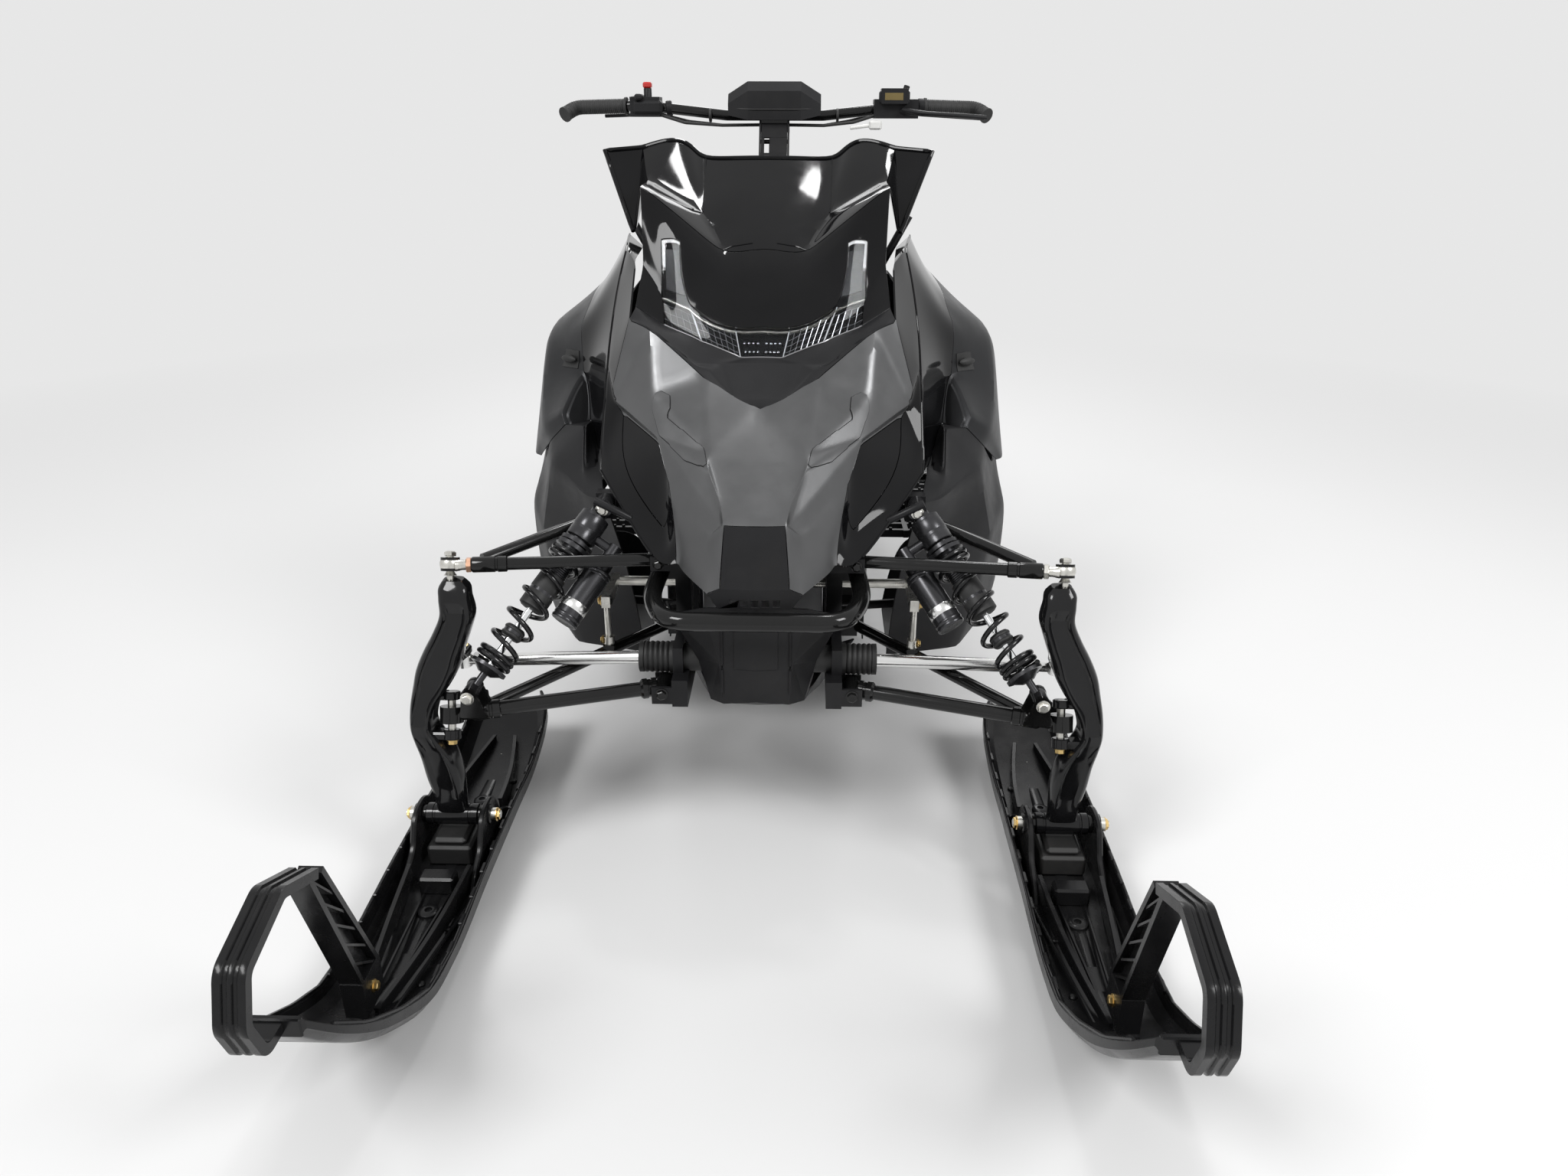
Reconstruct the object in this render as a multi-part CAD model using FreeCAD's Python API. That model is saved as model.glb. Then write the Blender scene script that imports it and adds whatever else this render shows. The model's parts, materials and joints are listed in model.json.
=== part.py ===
import FreeCAD, Part
import math
import os

os.makedirs("parts", exist_ok=True)

V = FreeCAD.Vector

# Driving dimensions in mm. Front faces -Y, +X is the rider's left, +Z is up.
# All shapes are drawn with Y = 0 at the ski bolt and moved by BOLT_Y on export.
BOLT_Y = -833.42         # ski bolt in the part's own frame
STANCE = 540.0           # half of the ski stance
BOLT_Z = 115.0           # height of the ski bolt
SKI_W = 85.0             # half width of a ski
KING_X = 520.0           # both ball joints, from the centre plane
KING_LOW = (0.0, 319.0)  # lower ball joint, Y and Z
KING_TOP = (84.0, 563.0) # upper ball joint, Y and Z
TIE_Y = 145.0            # outer end of the tie rod
TIE_Z = 350.0
TUN_W = 208.0            # half width of the tunnel, outside
TUN_Z = 575.0            # top of the tunnel
SHEET = 3.0              # tunnel sheet
TUN_Y0 = 490.0
TUN_Y1 = 2262.0
RACK = (240.0, 200.0)    # rack bolt spacing across and along
RACK_Y = 2000.0          # middle of the rack bolts
RACK_HOLE = 4.5
RACK_DECK = (170.0, 1880.0, 2230.0, 2.0)  # half width, front, back and height of its platform
BOARD_Z = 342.0          # top of the running boards
TRACK_W = 190.5          # half width of the track
BELT = 7.0               # belt thickness
LUG = 32.0               # lug height
DRIVE = (650.0, 330.0)   # drive axle, Y and Z
DRIVE_R = 95.0
IDLER_R = 100.0
REAR_AXLE = (2070.0, LUG + BELT + IDLER_R)
PANEL = 3.5              # body panel thickness
POST_TOP = (1090.0, 1262.0)   # bar clamp, Y and Z
POST_TILT = math.radians(35.0)
POST_FOOT = 836.0        # height of the post's lower end in the console
BAR_R = 11.5
SWAY = (312.0, 440.0)    # sway bar, Y and Z
SHOCK_LOW = (KING_X - 40, -1.0, 366.0)   # damper ends
SHOCK_TOP = (281.0, 240.0, 618.0)
EYE_LOW = 16.0           # half width of the damper's lower eye
SPRING = (0.125, 0.742)  # spring ends, as shares of the damper's length from its lower end
COIL_R = 30.0            # spring, to the middle of its wire
WIRE = 4.6
CABLE_R = 3.5
FRONT_SHAFT = (930.0, 350.0)  # suspension shafts in the tunnel, Y and Z
REAR_SHAFT = (1560.0, 330.0)
BOGIE_R = 62.0
# axles through the slide rails: Y, Z, radius
AXLES = ((REAR_AXLE[0], REAR_AXLE[1], 10.0), (1480.0, LUG + BELT + BOGIE_R + 0.4, 8.0),
         (1720.0, LUG + BELT + BOGIE_R + 0.4, 8.0))
BOOT = (132.0, 368.5)    # tie rod boots, Y and Z
SEAM = 0.6               # each panel stops this far short of its border


def box(x0, x1, y0, y1, z0, z1):
    return Part.makeBox(x1 - x0, y1 - y0, z1 - z0, V(x0, y0, z0))


def rod(p, q, r):
    a = V(*p)
    d = V(*q) - a
    return Part.makeCylinder(r, d.Length, a, d)


def cone(p, q, r0, r1):
    a = V(*p)
    d = V(*q) - a
    return Part.makeCone(r0, r1, d.Length, a, d)


def spun(p, q, profile):
    """Solid turned about the line from p to q: share of the way and radius at each corner."""
    a = V(*p)
    d = V(*q) - a
    pts = [V(r, 0, t * d.Length) for t, r in profile]
    pts = [V(0, 0, pts[0].z)] + pts + [V(0, 0, pts[-1].z)]
    solid = Part.Face(Part.makePolygon(pts + [pts[0]])).revolve(V(0, 0, 0), V(0, 0, 1), 360)
    solid.Placement = FreeCAD.Placement(a, FreeCAD.Rotation(V(0, 0, 1), d))
    return solid


def run(points, bend):
    """Wire of straight runs joined by tangent arcs of one radius."""
    pts = [V(*p) for p in points]
    edges = []
    start = pts[0]
    for i in range(1, len(pts) - 1):
        a = (pts[i - 1] - pts[i]).normalize()
        b = (pts[i + 1] - pts[i]).normalize()
        half = a.getAngle(b) / 2
        cut = bend / math.tan(half)
        m = (a + b).normalize()
        c = pts[i] + m * (bend / math.sin(half))
        p1 = pts[i] + a * cut
        p2 = pts[i] + b * cut
        if (p1 - start).Length > 0.01:
            edges.append(Part.makeLine(start, p1))
        edges.append(Part.Arc(p1, c - m * bend, p2).toShape())
        start = p2
    edges.append(Part.makeLine(start, pts[-1]))
    return Part.Wire(edges)


def tube(points, bend, ro):
    """Round bar along straight runs and arcs."""
    if len(points) == 2:
        return rod(points[0], points[1], ro)
    d = V(*points[1]) - V(*points[0])
    ring = Part.Wire([Part.makeCircle(ro, V(*points[0]), d)])
    return run(points, bend).makePipeShell([ring], True, False)


def prism_x(outline, x0, x1):
    """Outline of (Y, Z) corners pushed along X."""
    pts = [V(x0, y, z) for y, z in outline]
    face = Part.Face(Part.makePolygon(pts + [pts[0]]))
    return face.extrude(V(x1 - x0, 0, 0))


def prism_y(outline, y0, y1):
    """Outline of (X, Z) corners pushed along Y."""
    pts = [V(x, y0, z) for x, z in outline]
    face = Part.Face(Part.makePolygon(pts + [pts[0]]))
    return face.extrude(V(0, y1 - y0, 0))


def prism_z(outline, z0, z1):
    """Outline of (X, Y) corners pushed along Z."""
    pts = [V(x, y, z0) for x, y in outline]
    face = Part.Face(Part.makePolygon(pts + [pts[0]]))
    return face.extrude(V(0, 0, z1 - z0))


def loft(sections):
    """Ruled solid through closed outlines of 3D corners."""
    wires = []
    for s in sections:
        pts = [V(*p) for p in s]
        wires.append(Part.makePolygon(pts + [pts[0]]))
    return Part.makeLoft(wires, True, True)


def join(shapes):
    out = shapes[0]
    for other in shapes[1:]:
        out = out.fuse(other)
    clean = out.removeSplitter()
    return clean if clean.isValid() else out


def flip(shape):
    return shape.mirror(V(0, 0, 0), V(1, 0, 0))


def pair(shape):
    return Part.makeCompound([shape, flip(shape)])


def whole(rows):
    """Rows drawn from the centre plane outwards, doubled to the other side."""
    return [[(-x, y, z) for x, y, z in reversed(r[1:])] + list(r) for r in rows]


def skin(rows, t, inside, gap=1.0):
    """Panel of even thickness over a grid of outer points, borders pulled in by gap."""
    n = len(rows)
    m = len(rows[0])
    p = [[V(*q) for q in r] for r in rows]

    def pull(a, b):
        d = b - a
        return a + d * (gap / d.Length)
    for j in range(m):
        first = pull(p[0][j], p[1][j])
        last = pull(p[n - 1][j], p[n - 2][j])
        p[0][j] = first
        p[n - 1][j] = last
    for i in range(n):
        first = pull(p[i][0], p[i][1])
        last = pull(p[i][m - 1], p[i][m - 2])
        p[i][0] = first
        p[i][m - 1] = last
    nor = [[V(0, 0, 0) for _ in range(m)] for _ in range(n)]
    for i in range(n - 1):
        for j in range(m - 1):
            k = (p[i + 1][j + 1] - p[i][j]).cross(p[i + 1][j] - p[i][j + 1])
            if k.Length > 1e-6:
                k.normalize()
            for a, b in ((i, j), (i, j + 1), (i + 1, j + 1), (i + 1, j)):
                nor[a][b] = nor[a][b] + k
    core = V(*inside)
    side = 0.0
    for i in range(n):
        for j in range(m):
            nor[i][j].normalize()
            side += nor[i][j].dot((core - p[i][j]).normalize())
    step = t if side > 0 else -t
    q = [[p[i][j] + nor[i][j] * step for j in range(m)] for i in range(n)]
    faces = []

    def tri(a, b, c):
        faces.append(Part.Face(Part.makePolygon([a, b, c, a])))
    for i in range(n - 1):
        for j in range(m - 1):
            for g in (p, q):
                if (i + j) % 2:
                    tri(g[i][j], g[i][j + 1], g[i + 1][j + 1])
                    tri(g[i][j], g[i + 1][j + 1], g[i + 1][j])
                else:
                    tri(g[i][j], g[i][j + 1], g[i + 1][j])
                    tri(g[i][j + 1], g[i + 1][j + 1], g[i + 1][j])
    rim = [(0, j) for j in range(m)] + [(i, m - 1) for i in range(1, n)]
    rim += [(n - 1, j) for j in range(m - 2, -1, -1)] + [(i, 0) for i in range(n - 2, 0, -1)]
    for k in range(len(rim)):
        a, b = rim[k]
        c, d = rim[(k + 1) % len(rim)]
        tri(p[a][b], p[c][d], q[c][d])
        tri(p[a][b], q[c][d], q[a][b])
    shell = Part.makeShell(faces)
    shell.sewShape()
    solid = Part.makeSolid(shell)
    if solid.Volume < 0:
        solid.reverse()
    return solid


def mirrored(name):
    return name + "*"


def corner(name):
    """Place of a named body corner, the starred ones on the rider's right."""
    if name.endswith("*"):
        x, y, z = CORNERS[name[:-1]]
        return V(-x, y, z)
    return V(*CORNERS[name])


def both_sides(faces):
    """Faces of the left half and their twins, which start at the same corner and run the other way."""
    out = [tuple(f) for f in faces]
    for f in faces:
        out.append(tuple(n if CORNERS[n][0] == 0 else mirrored(n) for n in f[:1] + f[:0:-1]))
    return out


def fans(faces):
    return [(f[0], f[i], f[i + 1]) for f in faces for i in range(1, len(f) - 1)]


def shared_normals():
    """Inward direction at each corner, averaged over every panel that meets there."""
    total = {}
    inside = V(0, 620, 640)
    for faces in PANELS.values():
        for a, b, c in fans(both_sides(faces)):
            pa = corner(a)
            n = (corner(b) - pa).cross(corner(c) - pa)
            if n.Length < 1:
                continue
            n.normalize()
            if n.dot(inside - pa) < 0:
                n = n * -1
            for q in (a, b, c):
                total[q] = total.get(q, V(0, 0, 0)) + n
    return {q: v.normalize() for q, v in total.items()}


def facets(name, t, sides="both"):
    """Solid of even thickness over the named panel, its border drawn in by the seam."""
    faces = PANELS[name]
    if sides == "both":
        faces = both_sides(faces)
    tris = fans(faces)
    count = {}
    near = {}
    for tri in tris:
        middle = (corner(tri[0]) + corner(tri[1]) + corner(tri[2])) * (1 / 3)
        for i in range(3):
            edge = (tri[i], tri[(i + 1) % 3])
            count[frozenset(edge)] = count.get(frozenset(edge), 0) + 1
            near.setdefault(tri[i], []).append(middle)
    border = {q for e, k in count.items() if k == 1 for q in e}
    top = {}
    low = {}
    for q, mids in near.items():
        at = corner(q)
        if q in border:
            m = V(0, 0, 0)
            for k in mids:
                m = m + (k - at).normalize()
            if m.Length > 1e-6:
                at = at + m.normalize() * SEAM
        top[q] = at
        low[q] = at + NORMALS[q] * t
    out = []

    def tri_face(a, b, c):
        out.append(Part.Face(Part.makePolygon([a, b, c, a])))
    for a, b, c in tris:
        tri_face(top[a], top[b], top[c])
        tri_face(low[a], low[c], low[b])
        for u, v in ((a, b), (b, c), (c, a)):
            if count[frozenset((u, v))] == 1:
                tri_face(top[u], low[u], low[v])
                tri_face(top[u], low[v], top[v])
    shell = Part.makeShell(out)
    shell.sewShape()
    solid = Part.makeSolid(shell)
    if solid.Volume < 0:
        solid.reverse()
    return solid


def put(name, shape):
    shape = shape.copy()
    shape.translate(V(0, BOLT_Y, 0))
    shape.exportStep("parts/" + name + ".step")
    solids = shape.Solids
    print(name, len(solids), round(sum(s.Volume for s in solids) / 1e6, 3), shape.isValid())


def ski():
    """Ski trough with saddle, inner ribs and keel."""
    # y, half width, underside, wall top
    rows = (
        (430, 62, 100, 132), (395, 78, 82, 124), (330, 85, 56, 100), (230, 85, 36, 80),
        (90, 85, 30, 84), (-110, 85, 30, 82), (-300, 85, 32, 74), (-400, 84, 50, 90),
        (-480, 80, 94, 132), (-565, 72, 156, 190), (-630, 58, 222, 252), (-662, 46, 262, 290))
    wall = 6
    floor = 7
    secs = []
    for y, w, zb, zw in rows:
        f = w * 0.86
        secs.append([
            (STANCE - w, y, zw), (STANCE - f, y, zb), (STANCE + f, y, zb), (STANCE + w, y, zw),
            (STANCE + w - wall, y, zw), (STANCE + f - wall, y, zb + floor),
            (STANCE - f + wall, y, zb + floor), (STANCE - w + wall, y, zw)])
    bits = [loft(secs)]
    keel = [(330, 58), (215, 12), (-330, 12), (-430, 64), (-300, 36), (230, 42)]
    bits.append(prism_x(keel, STANCE - 12, STANCE + 12))
    # Saddle cheeks beside the spindle foot.
    cheek = [(115, 34), (95, 78), (30, BOLT_Z + 22), (-30, BOLT_Z + 22), (-95, 78), (-115, 34)]
    for s in (-1, 1):
        a = STANCE + s * 54
        bits.append(prism_x(cheek, min(a, a + s * 10), max(a, a + s * 10)))
    # Diagonal inner ribs ahead of and behind the saddle.
    # foot x offset, foot y, end x offset, end y, end floor
    ribs = ((50, -105, 12, -430, 62), (50, 105, 20, 330, 58))
    for xa, ya, xb, yb, zb in ribs:
        for s in (-1, 1):
            a = V(STANCE + s * xa, ya, 34)
            b = V(STANCE + s * xb, yb, zb)
            pts = [a, b, b + V(0, 0, 16), a + V(0, 0, 42)]
            f = Part.Face(Part.makePolygon(pts + [pts[0]]))
            bits.append(f.extrude(V(s * 6, 0, 0)))
    # Tip plate that carries the loop.
    bits.append(box(STANCE - 40, STANCE + 40, -664, -655, 262, 290))
    body = join(bits).cut(rod((STANCE - 90, 0, BOLT_Z), (STANCE + 90, 0, BOLT_Z), 7.3))
    return body.cut(runner(5.3))


def runner(r):
    """Steel wear bar bent up at both ends under the keel."""
    path = run([(STANCE, 300, 50), (STANCE, 205, 5), (STANCE, -335, 5), (STANCE, -420, 55)], 40)
    ring = Part.Wire([Part.makeCircle(r, V(STANCE, 300, 50), V(0, -95, -45))])
    return path.makePipeShell([ring], True, False)


def ski_loop():
    """Grab loop in the ski's centre plane with its zigzag strut."""
    path = run([(STANCE, -664, 279), (STANCE, -703, 279), (STANCE, -724, 335), (STANCE, -702, 396),
                (STANCE, -602, 424), (STANCE, -520, 388)], 22)
    w = 19
    e = 7
    # Band section across X with two grooves in its outer face.
    sec = [(-w, -e), (-w, e), (-10, e), (-8, e - 3), (-4, e - 3), (-2, e), (2, e), (4, e - 3),
           (8, e - 3), (10, e), (w, e), (w, -e)]
    n = V(0, 0, -1)
    c = V(STANCE, -664, 279)
    pts = [c + V(u, 0, 0) + n * v for u, v in sec]
    ring = Part.makePolygon(pts + [pts[0]])
    band = path.makePipeShell([ring], True, True)
    # Strut web from the loop's rear end down to the ski.
    web = prism_x([(-532, 392), (-508, 380), (-408, 150), (-452, 150)], STANCE - 3, STANCE + 3)
    bits = [band, web]
    bits.append(prism_x([(-508, 380), (-500, 384), (-400, 150), (-408, 150)], STANCE - 16, STANCE + 16))
    bits.append(prism_x([(-532, 392), (-540, 386), (-460, 150), (-452, 150)], STANCE - 16, STANCE + 16))
    steps = 5
    for i in range(steps):
        a = i / steps
        b = (i + 1) / steps
        p = (-532 + a * 80, 388 - a * 238)
        q = (-508 + b * 100, 380 - b * 230)
        bits.append(prism_x([p, (p[0], p[1] - 5), (q[0], q[1] - 5), q], STANCE - 14, STANCE + 14))
    bits.append(box(STANCE - 16, STANCE + 16, -462, -398, 92, 152))
    return join(bits)


def ski_hardware():
    """Ski bolt with its ends and the steel runner under the keel."""
    bits = [rod((STANCE - 84, 0, BOLT_Z), (STANCE + 84, 0, BOLT_Z), 7)]
    for s in (-1, 1):
        bits.append(rod((STANCE + s * 64, 0, BOLT_Z), (STANCE + s * 78, 0, BOLT_Z), 12))
    return Part.makeCompound([join(bits), runner(5)])


def king(t):
    """Point of the steering axis, 0 at the lower ball and 1 at the upper."""
    y = KING_LOW[0] + t * (KING_TOP[0] - KING_LOW[0])
    z = KING_LOW[1] + t * (KING_TOP[1] - KING_LOW[1])
    return (KING_X, y, z)


def knuckle():
    """Forged spindle with foot tube, ball joint lugs and steering arm."""
    leg = 40
    # z, x from the ball joints, y, half x, half y
    rows = (
        (540, -6, 74, 17, 13), (530, -7, 72, 25, 20), (512, -8, 67, 27, 24), (483, -11, 60, 29, 28),
        (454, -1, 51, 31, 30), (425, 12, 41, 34, 32), (397, 22, 31, 36, 34), (370, 32, 21, 31, 35),
        (345, 43, 12, 24, 35), (320, 49, 5, 20, 34), (300, 50, 1, 19, 33), (278, 42, -2, 23, 32),
        (250, 31, -3, 28, 31), (200, STANCE - KING_X + 3, -3, 30, 28), (160, STANCE - KING_X, -1, 26, 25),
        (132, STANCE - KING_X, 0, 25, 22))
    secs = []
    for z, dx, y, hx, hy in rows:
        k = 0.45
        x = KING_X + dx
        secs.append([(x - hx, y - hy * k, z), (x - hx * k, y - hy, z), (x + hx * k, y - hy, z),
                     (x + hx, y - hy * k, z), (x + hx, y + hy * k, z), (x + hx * k, y + hy, z),
                     (x - hx * k, y + hy, z), (x - hx, y + hy * k, z)])
    bits = [loft(secs)]
    bits.append(rod((STANCE - 47, 0, BOLT_Z), (STANCE + 47, 0, BOLT_Z), 19))
    # Lugs above and below the lower ball, and the bolt through the upper rod end.
    for a, b in ((-0.17, -0.1), (0.1, 0.155)):
        bits.append(rod(king(a), king(b), 15))
        p = king((a + b) / 2)
        h = abs(b - a) * 110
        bits.append(box(KING_X + 4, KING_X + leg - 4, p[1] - 11, p[1] + 11, p[2] - h, p[2] + h))
    bits.append(rod(king(-0.13), king(0.13), 7))
    bits.append(rod(king(0.86), king(1.055), 6))
    # Steering arm to the lug above the tie rod end.
    ball = TIE_Y + 5
    arm = [(KING_X + leg - 8, 10), (KING_X + leg + 12, 10), (STANCE + 18, TIE_Y - 17), (STANCE + 18, ball),
           (STANCE + 8, ball + 12), (STANCE - 8, ball + 12), (STANCE - 18, ball), (STANCE - 18, TIE_Y - 17)]
    bits.append(prism_z(arm, TIE_Z + 14, TIE_Z + 28))
    body = join(bits)
    return body.cut(rod((STANCE - 60, 0, BOLT_Z), (STANCE + 60, 0, BOLT_Z), 7.6))


def tie_rod():
    """Bright tie rod with a ball end under the steering arm."""
    out = (STANCE, TIE_Y, TIE_Z)
    inn = (100, BOOT[0] - 2, BOOT[1] + 2.5)
    share = 0.92
    tip = tuple(inn[i] + share * (out[i] - inn[i]) for i in range(3))
    bits = [rod(inn, tip, 12), rod((STANCE, TIE_Y, TIE_Z - 11), (STANCE, TIE_Y, TIE_Z + 11), 16)]
    bits.append(rod(tip, out, 9))
    return join(bits)


def boots():
    """Hollow boots round the inner ends of the tie rods, each with a lip on its collar."""
    y, z = BOOT
    solid = join([rod((100, y, z), (212, y, z), 25), rod((150, y, z), (157, y, z), 29),
                  rod((204, y, z), (212, y, z), 28)])
    return pair(solid.cut(rod((90, y, z), (220, y, z), 19.5)))


def upper_arms():
    front = (172, 152, 549)
    back = (178, 400, 600)
    end = (490, 83, 562)
    bits = [rod(front, end, 11), rod(back, (468, 100, 565), 11), rod(end, (KING_X - 12, 84, 563), 8)]
    bits.append(rod(king(0.955), king(1.045), 16))
    bits.append(rod((172, 134, 549), (172, 170, 549), 12))
    bits.append(rod((178, 382, 600), (178, 418, 600), 14))
    body = join(bits)
    return pair(body.cut(rod(king(0.9), king(1.1), 6.4)))


def lower_arms():
    front = (168, 100, 325)
    back = (168, 345, 345)
    bits = [rod(front, (KING_X - 12, 1, 320), 13), rod(back, (KING_X - 40, 9, 322), 11)]
    bits.append(rod(king(-0.055), king(0.055), 20))
    bits.append(rod((168, 76, 325), (168, 124, 325), 16))
    bits.append(rod((168, 323, 345), (168, 367, 345), 16))
    # Saddle and ears for the lower end of the damper, and the tab for the sway link.
    x, y, z = SHOCK_LOW
    half = EYE_LOW + 0.4
    bits.append(box(x - 20, x + 16, y - half - 6, y + half + 6, 325, 338))
    ear = 14
    for y0 in (y - half - 6, y + half):
        plate = [(x - 28, 326), (x + 18, 326), (x + ear - 1, z), (x - ear + 1, z)]
        bits.append(prism_y(plate, y0, y0 + 6))
        bits.append(rod((x, y0, z), (x, y0 + 6, z), ear))
    bits.append(rod((x, y - half - 12, z), (x, y + half + 12, z), 6))
    bits.append(box(274, 294, 204, 228, 334, 352))
    body = join(bits)
    # The ears are relieved for the damper shaft.
    body = body.cut(rod(along(0.02), along(0.13), 8.5))
    return pair(body.cut(rod(king(-0.13), king(0.13), 7.6)))


def along(t):
    return tuple(SHOCK_LOW[i] + t * (SHOCK_TOP[i] - SHOCK_LOW[i]) for i in range(3))


def shocks():
    """Dampers with shaft, bump stop, cup, threaded body with rings, upper can, eyes and side reservoir."""
    x0, y0, z0 = SHOCK_LOW
    x1, y1, z1 = SHOCK_TOP
    seat, end = SPRING
    # share of the length, then radius, from the lower eye up
    profile = ((0.0, 6.5), (0.085, 6.5), (0.085, 12), (seat - 0.015, 28), (seat - 0.015, 33), (seat, 33),
               (seat, 6.5), (0.275, 6.5), (0.275, 15), (0.288, 18), (0.31, 18), (0.32, 14), (0.32, 6.5),
               (0.43, 6.5), (0.43, 21), (0.445, 23.5), (0.60, 23.5), (0.60, 20.5), (end, 20.5), (end, 33),
               (end + 0.018, 33), (end + 0.018, 20.5), (end + 0.026, 20.5), (end + 0.026, 31),
               (end + 0.043, 31), (end + 0.043, 20.5), (0.80, 20.5), (0.80, 27), (0.93, 27), (0.93, 15),
               (0.97, 15))
    bits = [spun(SHOCK_LOW, SHOCK_TOP, profile)]
    bits.append(rod((x0, y0 - EYE_LOW, z0), (x0, y0 + EYE_LOW, z0), 13))
    bits.append(rod((x1, y1 - 18, z1), (x1, y1 + 18, z1), 17))
    # Reservoir beside the body with its neck and the bracket from the upper can.
    side = V(-50, -12, -32)
    foot = tuple(V(*along(0.46)) + side)
    head = tuple(V(*along(0.87)) + side)
    bits.append(spun(foot, head, ((0.0, 22), (0.02, 24.5), (0.66, 24.5), (0.66, 17), (0.80, 17), (0.80, 13), (1.0, 13))))
    bits.append(rod(along(0.845), tuple(V(*along(0.845)) + side), 9))
    body = join(bits).cut(rod((x1, y1 - 30, z1), (x1, y1 + 30, z1), 7.3))
    body = body.cut(rod((x1, y1 - 34, z1), (x1, y1 - 18, z1), 11))
    body = body.cut(rod((x0, y0 - 30, z0), (x0, y0 + 30, z0), 6.3))
    return pair(body)


def springs():
    """Coil springs about the damper axis, close wound at both ends and open between."""
    a = V(*along(SPRING[0]))
    b = V(*along(SPRING[1]))
    length = (b - a).Length - 2 * WIRE
    close = 2 * WIRE + 0.8   # pitch of the close turns
    low, middle, top = 2.0, 5.0, 1.5
    ramp = 0.75
    turns = low + middle + top
    rise = (length - close * turns) / (middle - ramp)
    steps = 14
    points = []
    height = WIRE
    for i in range(int(turns * steps) + 1):
        u = i / steps
        angle = 2 * math.pi * u
        points.append(V(COIL_R * math.cos(angle), COIL_R * math.sin(angle), height))
        opening = min(max(min((u - low) / ramp, (low + middle - u) / ramp), 0), 1)
        height += (close + rise * opening) / steps
    curve = Part.BSplineCurve()
    curve.interpolate(points)
    ring = Part.Wire([Part.makeCircle(WIRE, points[0], points[1] - points[0])])
    coil = Part.Wire([curve.toShape()]).makePipeShell([ring], True, True)
    coil.Placement = FreeCAD.Placement(a, FreeCAD.Rotation(V(0, 0, 1), b - a))
    return pair(coil)


def sway_links():
    """Sway bar across the frame with its two arms and drop links."""
    y, z = SWAY
    bits = [rod((-292, y, z), (292, y, z), 9)]
    for s in (-1, 1):
        a, b = sorted((s * 276, s * 292))
        bits.append(box(a, b, 206, y + 12, z - 11, z + 11))
        bits.append(rod((s * 284, 216, 352), (s * 284, 216, z), 6))
        bits.append(rod((s * 284, 216, 352), (s * 284, 216, 368), 10))
    return join(bits)


def reach(p, q, r, panel):
    """Round stay from p towards q that ends on the near face of a panel it would cross."""
    bit = rod(p, q, r).cut(panel)
    return min(bit.Solids, key=lambda b: (b.CenterOfMass - V(*p)).Length)


def front_frame(panels):
    """Open bulkhead: side beams, posts, rear plate, shock cross tube, ears and panel stays."""
    bits = []
    x1, y1, z1 = SHOCK_TOP
    by, bz = BOOT
    sy, sz = SWAY
    for s in (-1, 1):
        def slab(a, b, c, d, e, f, s=s):
            u, v = sorted((s * a, s * b))
            return box(u, v, c, d, e, f)
        bits.append(slab(122, 150, 70, 490, 300, 352))
        bits.append(slab(122, 150, 128, 490, 536, 572))
        bits.append(slab(122, 150, 178, 214, 300, 572))
        bits.append(slab(122, 150, sy - 15, sy + 15, 300, 572))
        bits.append(slab(122, 150, 452, 490, 300, 640))
        bits.append(slab(132, 150, 100, 178, 345, 400))
        # Ears that hold the four arm pivots.
        for c, d, e, f in ((70, 76, 305, 338), (124, 130, 305, 338), (317, 323, 325, 365),
                           (367, 373, 325, 365), (128, 134, 536, 562), (170, 176, 536, 562),
                           (376, 382, 586, 614), (418, 424, 586, 614)):
            bits.append(slab(146, 186, c, d, e, f))
        bits.append(slab(122, 150, 376, 424, 560, 614))
        # Shock mount: block behind the eye with its bolt.
        bits.append(slab(x1 - 18, x1 + 18, y1 + 18, y1 + 46, 586, z1 + 16))
        bits.append(rod((s * x1, y1 - 26, z1), (s * x1, y1 + 30, z1), 7))
        bits.append(rod((s * x1, y1 - 27, z1), (s * x1, y1 - 18, z1), 9))
        bits.append(slab(122, 150, y1 + 20, y1 + 50, 560, 614))
        bits.append(slab(146, 172, 190, 214, 496, 556))
    bits.append(rod((-x1, y1 + 35, 600), (x1, y1 + 35, 600), 12))
    bits.append(box(-150, 150, 452, 490, 300, 345))
    bits.append(box(-150, 150, 478, 490, 340, 640))
    bits.append(box(-150, 150, 128, 150, 540, 572))
    for name, p, q, r in STAYS:
        for s in (-1, 1):
            a = (s * p[0], p[1], p[2])
            b = (s * q[0], q[1], q[2])
            bits.append(reach(a, b, r, panels[name]))
    out = join(bits)
    for s in (-1, 1):
        out = out.cut(rod((s * 90, by, bz), (s * 220, by, bz), 25.3))
        out = out.cut(rod((s * 110, sy, sz), (s * 160, sy, sz), 9.3))
    for other in (upper_arms(), lower_arms(), panels["hood"], panels["side_panels"]):
        out = max(out.cut(other).Solids, key=lambda b: b.Volume)
    return out


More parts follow.
